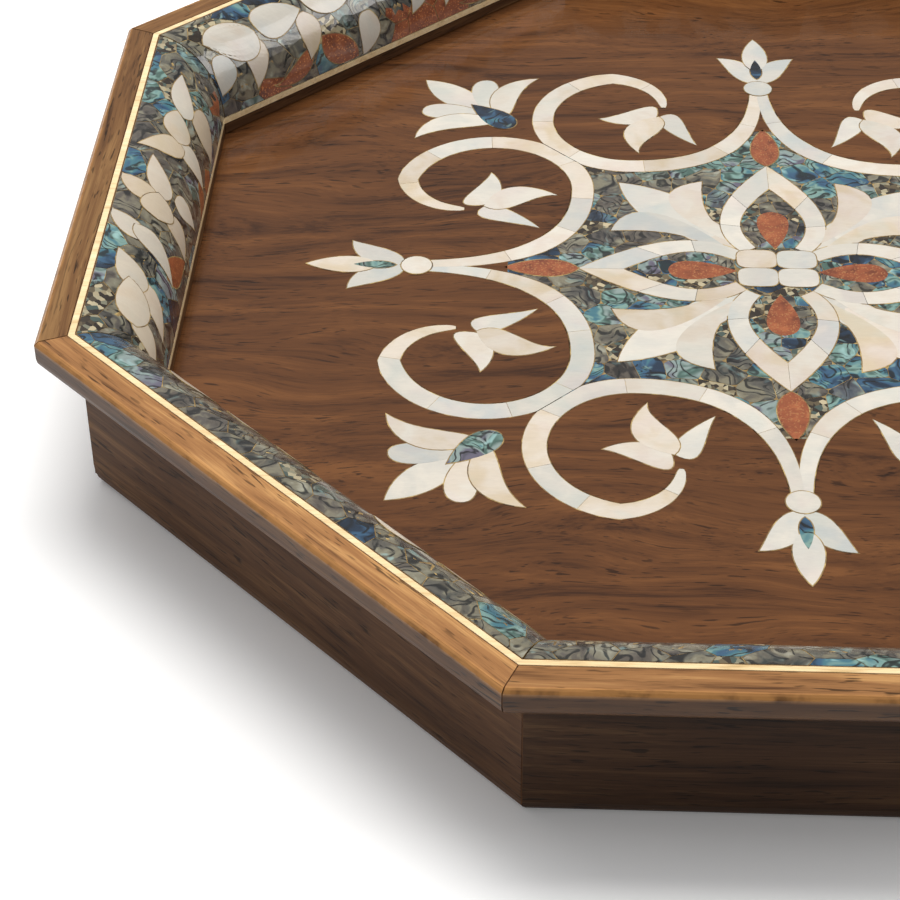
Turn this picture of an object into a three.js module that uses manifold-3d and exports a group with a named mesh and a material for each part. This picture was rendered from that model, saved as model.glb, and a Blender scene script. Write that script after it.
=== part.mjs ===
// Octagonal serving tray with a pearl-inlaid floor and mosaic-faced walls.
// Millimetres, +Z up, origin at the centre of the tray's footprint on the table.
// -Y is the front. The tray is one rigid piece: nothing opens, slides or turns.
import * as THREE from "three";
import { mergeVertices } from "three/addons/utils/BufferGeometryUtils.js";
import Module from "manifold-3d";

const wasm = await Module();
wasm.setup();

// Overall sizes. The octagon is hand-set: its flats lie square or at 45 degrees, but are not quite equally far out.
const WIDTH_X = 387.5;
const WIDTH_Y = 405.5;
const WIDTH_DIAGONAL = 389.5;
const HEIGHT = 48.4;
const FLOOR_Z = 18.5;

// Rail that caps the walls.
const RAIL_WIDTH = 7.8;
const RAIL_HEIGHT = 8.2;
const RAIL_OVERHANG = 10.3;
const RAIL_ROUND = 3;
const RAIL_CHAMFER = 1;
const RAIL_SEAT = 5;

// Pale strings that border the mosaic.
const STRING = 2;
const STRING_ABOVE_FLOOR = 3.6;
const STRING_PROUD = 0.2;

// Walls: a moulding that bulges inwards, faced with mosaic.
const WALL_RUN = 19.2;
const MOSAIC_THICKNESS = 1.5;
const FOOT_SETBACK = 2;
const FOOT_EASE = 2.5;
const FOOT_EASE_HEIGHT = 6;

// Floor panel, held in a groove round the walls.
const PANEL_THICKNESS = 6;
const GROOVE_DEPTH = 5;

// Floor inlay: radius to the finial tips.
const MEDALLION_RADIUS = 133.5;
const INLAY_THICKNESS = 1.5;

// Glue line between neighbouring pieces.
const GAP = 0.3;

// Counts of steps along curves.
const ARC_STEPS = 10;
const ROUND_STEPS = 4;
const STEM_STEPS = 9;
const SCROLL_STEPS = 16;
const TAIL_STEPS = 6;
const PETAL_STEPS = 7;
const LEAF_STEPS = 8;
const BEAD_STEPS = 16;

// Sizes that follow from the ones above. An inset is a distance in from the rail's outer face.
const OUTER_STRING_INSET = RAIL_WIDTH;
const INNER_STRING_INSET = OUTER_STRING_INSET + STRING;
const FLOOR_INSET = INNER_STRING_INSET + WALL_RUN;
const SEAT_INSET = RAIL_OVERHANG + RAIL_SEAT;
const RAIL_Z = HEIGHT - RAIL_HEIGHT;
const LOWER_STRING_Z = FLOOR_Z + STRING_ABOVE_FLOOR;
const MOULDING_Z = LOWER_STRING_Z + STRING + GAP;
const MOULDING_RISE = HEIGHT - STRING_PROUD - MOULDING_Z;
// Depth of the wall's wood below the mosaic's face.
const CORE_DEPTH = MOSAIC_THICKNESS + GAP;

// The eight sides, counter-clockwise from +X, with the distance of each from the centre.
const SIDE_NAMES = ["right", "back_right", "back", "back_left", "left", "front_left", "front", "front_right"];
const SIDE_R = SIDE_NAMES.map((name, i) => [WIDTH_X, WIDTH_DIAGONAL, WIDTH_Y, WIDTH_DIAGONAL][i % 4] / 2);
const SIDE_TURN = Math.PI / 4;

function finish(color, roughness, metalness) {
  return new THREE.MeshStandardMaterial({ color, roughness, metalness });
}

const WALNUT = finish(0x4a3626, 0.45, 0);
const RAIL_WOOD = finish(0xb98a55, 0.5, 0);
const FLOOR_WOOD = finish(0x5f3c26, 0.25, 0);
const PALE_WOOD = finish(0xf0d49a, 0.5, 0);
const PEARL = finish(0xe4ddd0, 0.25, 0);
const ABALONE = finish(0x3c5a60, 0.3, 0);

const tray = new THREE.Group();
tray.name = "inlaid_octagonal_tray";

function put(name, geometry, material) {
  const mesh = new THREE.Mesh(geometry, material);
  mesh.name = name;
  tray.add(mesh);
  return mesh;
}

// Points of an arc in a plane, from one angle to another.
function arc(x, y, radius, from, to, steps) {
  const points = [];
  for (let i = 0; i <= steps; i++) {
    const angle = from + ((to - from) * i) / steps;
    points.push([x + radius * Math.cos(angle), y + radius * Math.sin(angle)]);
  }
  return points;
}

function shape(points) {
  return new THREE.Shape(points.map(([x, y]) => new THREE.Vector2(x, y)));
}

// How far the corner shared with the next side lies along a side, on the line with a given inset.
function cornerAlong(side, next, inset) {
  return (SIDE_R[next] - inset) * Math.SQRT2 - (SIDE_R[side] - inset);
}

// The tray's plan at an inset: one corner at the counter-clockwise end of each side.
function octagon(inset) {
  return SIDE_R.map((r, i) => {
    const along = cornerAlong(i, (i + 1) % SIDE_R.length, inset);
    const cos = Math.cos(i * SIDE_TURN);
    const sin = Math.sin(i * SIDE_TURN);
    return [(r - inset) * cos - along * sin, (r - inset) * sin + along * cos];
  });
}

// An upright prism between two heights, with an optional hole.
function prism(points, bottom, top, hole) {
  const outline = shape(points);
  if (hole) outline.holes.push(new THREE.Path(hole.map(([x, y]) => new THREE.Vector2(x, y))));
  const geometry = new THREE.ExtrudeGeometry(outline, { depth: top - bottom, bevelEnabled: false });
  geometry.translate(0, 0, bottom);
  return geometry;
}

// One side of the octagon, facing +X: a profile of (inset, height), mitred at both ends.
function mitred(profile, side) {
  const before = (side + SIDE_R.length - 1) % SIDE_R.length;
  const after = (side + 1) % SIDE_R.length;
  const setBack = GAP / 2 / Math.cos(SIDE_TURN / 2);
  const geometry = new THREE.ExtrudeGeometry(shape(profile), { depth: 1, bevelEnabled: false });
  const position = geometry.attributes.position;
  for (let i = 0; i < position.count; i++) {
    const inset = position.getX(i);
    const height = position.getY(i);
    const ahead = cornerAlong(side, after, inset) - setBack;
    const behind = setBack - cornerAlong(side, before, inset);
    position.setXYZ(i, SIDE_R[side] - inset, position.getZ(i) > 0.5 ? ahead : behind, height);
  }
  geometry.computeVertexNormals();
  return geometry;
}

function putSides(prefix, profile, material) {
  SIDE_NAMES.forEach((name, side) => {
    const mesh = put(prefix + "_" + name, mitred(profile, side), material);
    mesh.rotation.z = side * SIDE_TURN;
  });
}

// The moulding's face is a quarter ellipse: level where it leaves the upper string, upright at the lower one.
// These give a line at a depth behind that face, and the angles at which it reaches an inset or a height.
function moulding(depth, from, to) {
  return arc(0, 0, 1, from, to, ARC_STEPS).map(([x, y]) => [
    INNER_STRING_INSET + (WALL_RUN - depth) * x,
    MOULDING_Z + (MOULDING_RISE - depth) * y,
  ]);
}

function angleAtInset(depth, inset) {
  return Math.acos((inset - INNER_STRING_INSET) / (WALL_RUN - depth));
}

function angleAtHeight(depth, z) {
  return Math.asin((z - MOULDING_Z) / (MOULDING_RISE - depth));
}

// ---- Walls, rail, strings ----

const footCurve = arc(0, 0, 1, Math.PI, 1.5 * Math.PI, ROUND_STEPS).map(([x, y]) => [
  RAIL_OVERHANG + FOOT_EASE + FOOT_EASE * x,
  FOOT_EASE_HEIGHT + FOOT_EASE_HEIGHT * y,
]);
const grooveTop = FLOOR_Z + GAP;
const grooveBottom = FLOOR_Z - PANEL_THICKNESS - GAP;
const wallProfile = [
  [RAIL_OVERHANG, RAIL_Z - GAP],
  ...footCurve,
  [FLOOR_INSET - FOOT_SETBACK, 0],
  [FLOOR_INSET - FOOT_SETBACK, grooveBottom],
  [FLOOR_INSET - GROOVE_DEPTH, grooveBottom],
  [FLOOR_INSET - GROOVE_DEPTH, grooveTop],
  [FLOOR_INSET, grooveTop],
  [FLOOR_INSET, LOWER_STRING_Z - GAP],
  [FLOOR_INSET - CORE_DEPTH, LOWER_STRING_Z - GAP],
  ...moulding(CORE_DEPTH, 0, angleAtInset(CORE_DEPTH, SEAT_INSET)),
  [SEAT_INSET, RAIL_Z - GAP],
];
putSides("wall_board", wallProfile, WALNUT);

const ledgeZ = HEIGHT - STRING - GAP;
const railProfile = [
  [RAIL_CHAMFER, HEIGHT],
  [0, HEIGHT - RAIL_CHAMFER],
  ...arc(RAIL_ROUND, RAIL_Z + RAIL_ROUND, RAIL_ROUND, Math.PI, 1.5 * Math.PI, ROUND_STEPS),
  [SEAT_INSET - GAP, RAIL_Z],
  ...moulding(CORE_DEPTH, angleAtInset(CORE_DEPTH, SEAT_INSET - GAP), angleAtHeight(CORE_DEPTH, ledgeZ)),
  [OUTER_STRING_INSET, ledgeZ],
  [OUTER_STRING_INSET, HEIGHT],
];
putSides("rim_rail", railProfile, RAIL_WOOD);

const mosaicEdge = INNER_STRING_INSET + GAP;
const mosaicProfile = [
  ...moulding(MOSAIC_THICKNESS, 0, angleAtInset(MOSAIC_THICKNESS, mosaicEdge)).reverse(),
  ...moulding(0, 0, angleAtInset(0, mosaicEdge)),
];
putSides("wall_mosaic", mosaicProfile, ABALONE);

// A string runs all the way round as one ring between two insets.
function putString(name, outerInset, innerInset, bottom) {
  put(name, prism(octagon(outerInset), bottom, bottom + STRING, octagon(innerInset)), PALE_WOOD);
}
putString("upper_string", OUTER_STRING_INSET + GAP, INNER_STRING_INSET, HEIGHT - STRING);
putString("lower_string", FLOOR_INSET - MOSAIC_THICKNESS, FLOOR_INSET, LOWER_STRING_Z);

// ---- Floor inlay: outlines as fractions of the medallion's radius, drawn for the left-hand arm ----

const BAND = 0.0235;
const BAND_START = 0.012;
const BAND_END = 0.004;
const STEM_START = [-0.745, -0.008];
const SCROLL_CENTRE = [-0.609, -0.308];
const SCROLL_RADIUS = 0.197;
const TAIL_START_ANGLE = (-170 * Math.PI) / 180;
const BEAD_R = 0.765;
const BEAD_RADIUS = 0.033;
const CORE_HALF = 0.082;
const LOBE_CENTRE = 0.046;
const LOBE_RADIUS = 0.044;

const curveOf = (a, b, c, d) =>
  new THREE.CubicBezierCurve(...[a, b, c, d].map(([x, y]) => new THREE.Vector2(x, y)));

// Centreline of one scroll: out of the stem, round the circle, into the tail.
function scrollCentreline() {
  const [x, y] = SCROLL_CENTRE;
  const stem = curveOf(STEM_START, [-0.55, -0.014], [-0.412, -0.1], [x + SCROLL_RADIUS, y]);
  const tailStart = [
    x + SCROLL_RADIUS * Math.cos(TAIL_START_ANGLE),
    y + SCROLL_RADIUS * Math.sin(TAIL_START_ANGLE),
  ];
  const tail = curveOf(tailStart, [-0.793, -0.275], [-0.745, -0.226], [-0.672, -0.224]);
  const pairs = (points) => points.map((p) => [p.x, p.y]);
  return [
    ...pairs(stem.getPoints(STEM_STEPS)),
    ...arc(x, y, SCROLL_RADIUS, 0, TAIL_START_ANGLE, SCROLL_STEPS).slice(1),
    ...pairs(tail.getPoints(TAIL_STEPS)).slice(1),
  ];
}

// Half width of the band along the scroll: narrow at the stem, full round the circle, tapered at the tail.
function bandHalfWidth(i, last) {
  const fromStem = THREE.MathUtils.clamp(i / STEM_STEPS / 0.5, 0, 1);
  const toEnd = THREE.MathUtils.clamp((last - i) / (TAIL_STEPS + 1), 0, 1);
  const start = THREE.MathUtils.lerp(BAND_START, BAND, fromStem);
  return THREE.MathUtils.lerp(BAND_END, start, Math.sqrt(toEnd));
}

// Unit normal of a polyline at a point.
function normalAt(points, i, closed) {
  const n = points.length;
  const before = points[closed ? (i + n - 1) % n : Math.max(i - 1, 0)];
  const after = points[closed ? (i + 1) % n : Math.min(i + 1, n - 1)];
  const dx = after[0] - before[0];
  const dy = after[1] - before[1];
  const length = Math.hypot(dx, dy);
  return [-dy / length, dx / length];
}

function band(centreline, halfWidth) {
  const last = centreline.length - 1;
  const side = (sign) =>
    centreline.map(([x, y], i) => {
      const [nx, ny] = normalAt(centreline, i, false);
      const w = sign * halfWidth(i, last);
      return [x + nx * w, y + ny * w];
    });
  return [...side(1), ...side(-1).reverse()];
}

// A leaf: out along one side from base to tip and back along the other, each side a free curve.
function leaf(base, outA, outB, tip, backB, backA) {
  const there = curveOf(base, outA, outB, tip).getPoints(LEAF_STEPS).map((p) => [p.x, p.y]);
  const back = curveOf(tip, backB, backA, base).getPoints(LEAF_STEPS).map((p) => [p.x, p.y]);
  return [...there.slice(0, -1), ...back.slice(0, -1)];
}

// A petal from base to tip. Each side swells to its own width; bend moves the tip's approach sideways.
function petal(base, tip, leftWidth, rightWidth, bend = 0) {
  const dx = tip[0] - base[0];
  const dy = tip[1] - base[1];
  const length = Math.hypot(dx, dy);
  const at = (along, across) => [
    base[0] + dx * along - (dy / length) * across,
    base[1] + dy * along + (dx / length) * across,
  ];
  const side = (width) =>
    curveOf(base, at(0.2, 1.45 * width), at(0.72, 0.95 * width + bend), tip).getPoints(PETAL_STEPS);
  const left = side(leftWidth).map((p) => [p.x, p.y]);
  const right = side(-rightWidth).map((p) => [p.x, p.y]);
  return [...left, ...right.slice(1, -1).reverse()];
}

const disc = ([x, y], radius) => arc(x, y, radius, 0, 2 * Math.PI, BEAD_STEPS).slice(1);
const mirrorDiagonal = (points) => points.map(([x, y]) => [y, x]);
const mirrorFront = (points) => points.map(([x, y]) => [x, -y]);

const armOutline = band(scrollCentreline(), bandHalfWidth);
const scrollShapes = [armOutline, mirrorFront(armOutline)];

const finialWing = petal([-0.79, -0.004], [-0.907, -0.09], 0.03, 0.036, -0.022);
const finialShapes = [
  disc([-BEAD_R, 0], BEAD_RADIUS),
  petal([-0.775, 0], [-0.93, 0], 0.034, 0.034),
  petal([-0.845, 0], [-1, 0], 0.033, 0.033),
  finialWing,
  mirrorFront(finialWing),
];

const sprigShapes = [
  leaf([-0.625, -0.24], [-0.685, -0.175], [-0.575, -0.183], [-0.506, -0.153], [-0.545, -0.205], [-0.6, -0.25]),
  leaf([-0.63, -0.236], [-0.575, -0.19], [-0.525, -0.295], [-0.468, -0.285], [-0.535, -0.335], [-0.605, -0.335]),
  leaf([-0.635, -0.24], [-0.73, -0.225], [-0.63, -0.315], [-0.617, -0.374], [-0.58, -0.33], [-0.585, -0.25]),
];

const lilyWing = leaf(
  [-0.6, -0.598],
  [-0.66, -0.56],
  [-0.73, -0.58],
  [-0.797, -0.519],
  [-0.79, -0.61],
  [-0.7, -0.67],
);
const lilyLobe = leaf(
  [-0.625, -0.625],
  [-0.72, -0.6],
  [-0.787, -0.605],
  [-0.786, -0.64],
  [-0.785, -0.685],
  [-0.7, -0.69],
);
const cornerLilyShapes = [
  leaf([-0.672, -0.672], [-0.64, -0.548], [-0.585, -0.56], [-0.573, -0.573], [-0.56, -0.585], [-0.548, -0.64]),
  leaf([-0.63, -0.63], [-0.745, -0.655], [-0.775, -0.72], [-0.784, -0.784], [-0.72, -0.775], [-0.655, -0.745]),
  lilyWing,
  mirrorDiagonal(lilyWing),
  lilyLobe,
  mirrorDiagonal(lilyLobe),
];

const innerWing = leaf(
  [-0.1, -0.085],
  [-0.17, -0.09],
  [-0.17, -0.165],
  [-0.352, -0.147],
  [-0.315, -0.285],
  [-0.2, -0.22],
);
const innerLilyShapes = [
  petal([-0.085, -0.085], [-0.29, -0.29], 0.05, 0.05),
  petal([-0.13, -0.13], [-0.342, -0.332], 0.066, 0.066),
  innerWing,
  mirrorDiagonal(innerWing),
];

// One rosette petal's outline: wide where it leaves the centre, pointed at the tip.
function rosettePetal(baseR, baseHalf, swell, shoulder, tipR) {
  const side = curveOf([-baseR, baseHalf], [-baseR - 0.075, swell], [-shoulder, 0.93 * swell], [-tipR, 0]);
  const upper = side.getPoints(2 * PETAL_STEPS).map((p) => [p.x, p.y]);
  const lower = mirrorFront(upper).slice(0, -1);
  return [...upper, ...lower.reverse()];
}
const petalOuter = rosettePetal(0.07, 0.07, 0.141, 0.265, 0.421);
const petalInner = rosettePetal(0.09, 0.042, 0.088, 0.215, 0.326);
const rosetteLobe = disc([-LOBE_CENTRE, -LOBE_CENTRE], LOBE_RADIUS);
const coreSquare = [
  [-CORE_HALF, -CORE_HALF / 2],
  [-CORE_HALF / 2, -CORE_HALF],
];

// Boundary of the mosaic ground: along the scrolls, from each stem to where two scrolls meet.
function groundOutline() {
  const stem = scrollCentreline().slice(STEM_STEPS / 3, STEM_STEPS);
  const toDiagonal = [...stem, ...arc(...SCROLL_CENTRE, SCROLL_RADIUS, 0, -Math.PI / 4, ROUND_STEPS)];
  const quarter = [...toDiagonal, ...mirrorDiagonal(toDiagonal).reverse()];
  return [0, 1, 2, 3].flatMap((turn) => quarter.map((p) => turned(p, turn)));
}

// ---- From outlines to solids ----

// A point turned by quarter turns about the medallion's centre.
function turned([x, y], turn) {
  const cos = [1, 0, -1, 0][turn];
  const sin = [0, 1, 0, -1][turn];
  return [x * cos - y * sin, x * sin + y * cos];
}

function place(points, turn) {
  return points.map((p) => {
    const [x, y] = turned(p, turn);
    return [x * MEDALLION_RADIUS, y * MEDALLION_RADIUS];
  });
}

// The outline moved outwards by a distance, or inwards when it is negative.
function grown(points, distance) {
  const sign = THREE.ShapeUtils.area(points.map(([x, y]) => ({ x, y }))) > 0 ? -1 : 1;
  return points.map(([x, y], i) => {
    const [nx, ny] = normalAt(points, i, true);
    return [x + sign * nx * distance, y + sign * ny * distance];
  });
}

function solidOf(geometry) {
  geometry.deleteAttribute("normal");
  geometry.deleteAttribute("uv");
  const merged = mergeVertices(geometry, 1e-4);
  return new wasm.Manifold(
    new wasm.Mesh({
      numProp: 3,
      vertProperties: merged.attributes.position.array,
      triVerts: new Uint32Array(merged.index.array),
    }),
  );
}

function geometryOf(solid) {
  const mesh = solid.getMesh();
  const geometry = new THREE.BufferGeometry();
  const xyz = new Float32Array(mesh.numVert * 3);
  for (let i = 0; i < mesh.numVert; i++) {
    xyz.set(mesh.vertProperties.subarray(i * mesh.numProp, i * mesh.numProp + 3), i * 3);
  }
  geometry.setAttribute("position", new THREE.BufferAttribute(xyz, 3));
  geometry.setIndex(new THREE.BufferAttribute(mesh.triVerts, 1));
  const flat = geometry.toNonIndexed();
  flat.computeVertexNormals();
  return flat;
}

const PIECE = [FLOOR_Z - INLAY_THICKNESS, FLOOR_Z];
const POCKET = [FLOOR_Z - INLAY_THICKNESS - GAP, FLOOR_Z + 1];
const CUTTER = [FLOOR_Z - INLAY_THICKNESS - 1, FLOOR_Z + 1];

// The joined solid of several outlines after quarter turns, grown by a distance, between two heights.
function joined(outlines, turn, distance, [bottom, top]) {
  return outlines
    .map((points) => solidOf(prism(grown(place(points, turn), distance), bottom, top)))
    .reduce((all, next) => all.add(next));
}

const TURNS = [0, 1, 2, 3];
const ARM_NAMES = ["left", "front", "right", "back"];
const CORNER_NAMES = ["front_left", "front_right", "back_right", "back_left"];

// Wedge that belongs to one arm, set back from the diagonals by half a glue line.
function wedge(turn, [bottom, top]) {
  const reach = 1.2 * MEDALLION_RADIUS;
  const apex = -GAP / Math.SQRT2;
  const corners = [
    [apex, 0],
    [apex - reach, reach],
    [apex - reach, -reach],
  ];
  return solidOf(prism(corners.map((p) => turned(p, turn)), bottom, top));
}

const rosetteCore = [0, 1, 2, 3].flatMap((turn) => coreSquare.map((p) => turned(p, turn)));
const corePoints = [rosetteCore, ...TURNS.map((turn) => rosetteLobe.map((p) => turned(p, turn)))];
const rosetteOutside = (distance, range) =>
  TURNS.map((turn) => joined([petalOuter], turn, distance, range)).reduce((all, next) =>
    all.add(next),
  ).add(joined(corePoints, 0, distance, range));

const pockets = [solidOf(prism(place(groundOutline(), 0), ...POCKET))];
let ground = solidOf(prism(place(groundOutline(), 0), ...PIECE)).subtract(rosetteOutside(GAP, CUTTER));
let rosette = rosetteOutside(0, PIECE);

TURNS.forEach((turn) => {
  const arm = ARM_NAMES[turn];
  const corner = CORNER_NAMES[turn];

  const finial = joined(finialShapes, turn, 0, PIECE);
  put("finial_" + arm, geometryOf(finial), PEARL);
  pockets.push(joined(finialShapes, turn, GAP, POCKET));

  const scroll = joined(scrollShapes, turn, 0, PIECE)
    .intersect(wedge(turn, PIECE))
    .subtract(joined(finialShapes, turn, GAP, CUTTER));
  put("scroll_" + arm, geometryOf(scroll), PEARL);
  pockets.push(joined(scrollShapes, turn, GAP, POCKET));
  ground = ground.subtract(joined(scrollShapes, turn, GAP, CUTTER));

  [
    ["near", sprigShapes],
    ["far", sprigShapes.map(mirrorFront)],
  ].forEach(([side, shapes]) => {
    put("sprig_" + arm + "_" + side, geometryOf(joined(shapes, turn, 0, PIECE)), PEARL);
    pockets.push(joined(shapes, turn, GAP, POCKET));
  });

  put("corner_lily_" + corner, geometryOf(joined(cornerLilyShapes, turn, 0, PIECE)), PEARL);
  pockets.push(joined(cornerLilyShapes, turn, GAP, POCKET));

  const lily = joined(innerLilyShapes, turn, 0, PIECE).subtract(rosetteOutside(GAP, CUTTER));
  put("inner_lily_" + corner, geometryOf(lily), PEARL);
  ground = ground.subtract(joined(innerLilyShapes, turn, GAP, CUTTER));

  rosette = rosette.subtract(joined([petalInner], turn, 0, CUTTER));
  put("petal_fill_" + arm, geometryOf(joined([petalInner], turn, -GAP, PIECE)), ABALONE);
});

put("rosette", geometryOf(rosette.add(joined(corePoints, 0, 0, PIECE))), PEARL);
put("mosaic_ground", geometryOf(ground), ABALONE);

const panelInset = FLOOR_INSET - GROOVE_DEPTH + GAP;
const panel = solidOf(prism(octagon(panelInset), FLOOR_Z - PANEL_THICKNESS, FLOOR_Z));
put("floor_panel", geometryOf(pockets.reduce((left, pocket) => left.subtract(pocket), panel)), FLOOR_WOOD);

export default tray;
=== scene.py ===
"""Inlaid octagonal tray: shell mosaic walls, pearl scrolls in a walnut floor.

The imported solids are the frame. Wood parts keep their solids and get a wood finish. The shell work is cut
piece by piece here and laid into the pockets that the solids leave for it.
"""

import math
import random

import bmesh
import bpy
from mathutils import Matrix, Vector


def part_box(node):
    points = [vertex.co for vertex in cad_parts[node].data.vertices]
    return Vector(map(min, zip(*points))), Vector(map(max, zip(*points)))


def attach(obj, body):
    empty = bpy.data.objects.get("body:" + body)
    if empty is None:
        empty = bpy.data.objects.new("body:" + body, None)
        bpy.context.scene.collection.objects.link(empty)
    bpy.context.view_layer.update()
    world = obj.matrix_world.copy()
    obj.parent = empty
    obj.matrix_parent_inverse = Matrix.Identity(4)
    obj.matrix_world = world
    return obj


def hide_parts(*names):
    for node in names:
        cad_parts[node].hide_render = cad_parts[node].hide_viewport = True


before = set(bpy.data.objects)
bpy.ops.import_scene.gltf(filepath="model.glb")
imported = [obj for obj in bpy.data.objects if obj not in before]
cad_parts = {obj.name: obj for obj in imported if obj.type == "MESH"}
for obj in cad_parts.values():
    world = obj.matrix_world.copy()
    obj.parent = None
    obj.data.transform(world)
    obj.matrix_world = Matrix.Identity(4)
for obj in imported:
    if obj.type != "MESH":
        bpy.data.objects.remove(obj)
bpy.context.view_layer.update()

bl_info = {
    "name": "Inlaid Octagonal Tray",
    "version": (1, 0, 0),
    "blender": (4, 5, 0),
    "location": "3D Viewport > Sidebar > Inlaid Tray",
    "description": "Builds the shell inlay, mosaic and finishes of an octagonal walnut tray",
    "category": "Object",
}

MM = 0.001

# The eight sides, counter-clockwise from +X, and the quarter turns of the floor pattern.
SIDES = ["right", "back_right", "back", "back_left", "left", "front_left", "front", "front_right"]
ARMS = ["left", "front", "right", "back"]
CORNERS = ["front_left", "front_right", "back_right", "back_left"]
SIDE_TURN = math.pi / 4


def side_axes(side):
    """Outward and counter-clockwise directions of a side."""
    angle = side * SIDE_TURN
    out = Vector((math.cos(angle), math.sin(angle), 0))
    return out, Vector((-out.y, out.x, 0))


def side_reach(side):
    """Distance from the centre to the outer face of a side's rail."""
    out, _ = side_axes(side)
    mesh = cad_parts["rim_rail_" + SIDES[side]].data
    return max(out.dot(v.co) for v in mesh.vertices)


REACH = [side_reach(i) for i in range(len(SIDES))]
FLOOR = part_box("floor_panel")[1].z
RADIUS = -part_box("finial_left")[0].x
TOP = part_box("rim_rail_left")[1].z
RAIL_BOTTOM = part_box("rim_rail_left")[0].z
BED_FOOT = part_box("wall_mosaic_right")[0]
BED_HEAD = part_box("wall_mosaic_right")[1]
# The gap that the solids leave for glue, the width of the upper string, and how far the rail stands out.
GLUE = 0.3 * MM
STRING = 1.7 * MM
LIP = REACH[0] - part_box("wall_board_right")[1].x
# The moulding is a quarter ellipse about this inset and height.
MOULD_INSET = REACH[0] - BED_HEAD.x - GLUE
MOULD_RUN = REACH[0] - BED_FOOT.x - MOULD_INSET
MOULD_FOOT = BED_FOOT.z
MOULD_RISE = BED_HEAD.z - BED_FOOT.z


# ---------------------------------------------------------------- settings


def length(name, default, description):
    return bpy.props.FloatProperty(
        name=name, description=description, default=default, min=0.0, unit="LENGTH", precision=5
    )


def share(name, default, description, high=1.0):
    return bpy.props.FloatProperty(
        name=name, description=description, default=default, min=0.0, max=high, subtype="FACTOR"
    )


def screen(*values):
    """Linear colour of screen values of 0 to 255."""
    return tuple(((c / 255 + 0.055) / 1.055) ** 2.4 if c > 10 else c / 255 / 12.92 for c in values) + (1.0,)


def tint(name, default, description):
    """A colour given as screen values of 0 to 255."""
    return bpy.props.FloatVectorProperty(
        name=name, description=description, default=screen(*default), size=4, min=0, max=1, subtype="COLOR"
    )


def angle(name, degrees, description):
    return bpy.props.FloatProperty(
        name=name, description=description, default=math.radians(degrees), subtype="ANGLE"
    )


class TrayWoodSettings(bpy.types.PropertyGroup):
    floor_dark: tint("Floor dark", (56, 32, 17), "Dark streaks of the floor board")
    floor_mid: tint("Floor middle", (90, 55, 29), "Ground colour of the floor board")
    floor_light: tint("Floor light", (112, 71, 38), "Light figure of the floor board")
    wall_dark: tint("Wall dark", (44, 27, 15), "Dark streaks of the outer walls")
    wall_mid: tint("Wall middle", (80, 52, 31), "Ground colour of the outer walls")
    wall_light: tint("Wall light", (114, 82, 52), "Light figure of the outer walls")
    rail_dark: tint("Rail dark", (92, 60, 36), "Dark streaks of the rail")
    rail_mid: tint("Rail middle", (156, 110, 68), "Ground colour of the rail")
    rail_light: tint("Rail light", (198, 150, 96), "Light figure of the rail")
    string_mid: tint("String", (236, 209, 162), "Colour of the pale strings")
    lacquer: share("Lacquer", 0.4, "Strength of the lacquer coat on the floor")
    arris: length("Arris", 0.7 * MM, "Rounding of the outer wooden edges")
    floor_turn: angle("Floor grain angle", 3.0, "How far the floor board's grain is turned from the X axis")


class TrayMosaicSettings(bpy.types.PropertyGroup):
    chip: length("Chip size", 11.5 * MM, "Typical width of a wall chip")
    joint: length("Joint", 0.28 * MM, "Glue line between two chips")
    proud: length("Proud", 0.06 * MM, "Height of the chips over their bed")
    jitter: share("Jitter", 0.42, "How irregular the chips are")
    seed: bpy.props.IntProperty(name="Seed", description="Seed of the wall mosaic", default=11, min=0)


class TrayInlaySettings(bpy.types.PropertyGroup):
    thickness: length("Thickness", 1.5 * MM, "Thickness of the shell")
    joint: length("Joint", 0.12 * MM, "Visible joint between two shell segments")
    ground_chip: length("Ground chip", 9.5 * MM, "Typical width of a chip between the scrolls")
    segment: length("Segment", 21 * MM, "Length of one pearl segment of a scroll")
    seed: bpy.props.IntProperty(name="Seed", description="Seed of the floor inlay", default=5, min=0)


class TrayStageSettings(bpy.types.PropertyGroup):
    azimuth: angle("Azimuth", 2.858, "Camera's turn round the tray")
    elevation: angle("Elevation", 38.422, "Camera's height angle")
    roll: angle("Roll", -0.608, "Camera's roll")
    station: bpy.props.FloatVectorProperty(
        name="Station",
        description="Camera's place from the middle of the floor, in medallion radii",
        default=(-0.484, -4.2897, 2.9074),
        subtype="XYZ",
    )
    lens: bpy.props.FloatProperty(
        name="Lens", description="Focal length", default=97.32, min=1, unit="CAMERA"
    )
    glow: share("Glow", 0.10, "Light that comes through the floor that the tray stands on")
    backdrop: tint("Backdrop", (252, 252, 252), "Colour of the floor that the tray stands on")


# ---------------------------------------------------------------- shader helpers


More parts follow.
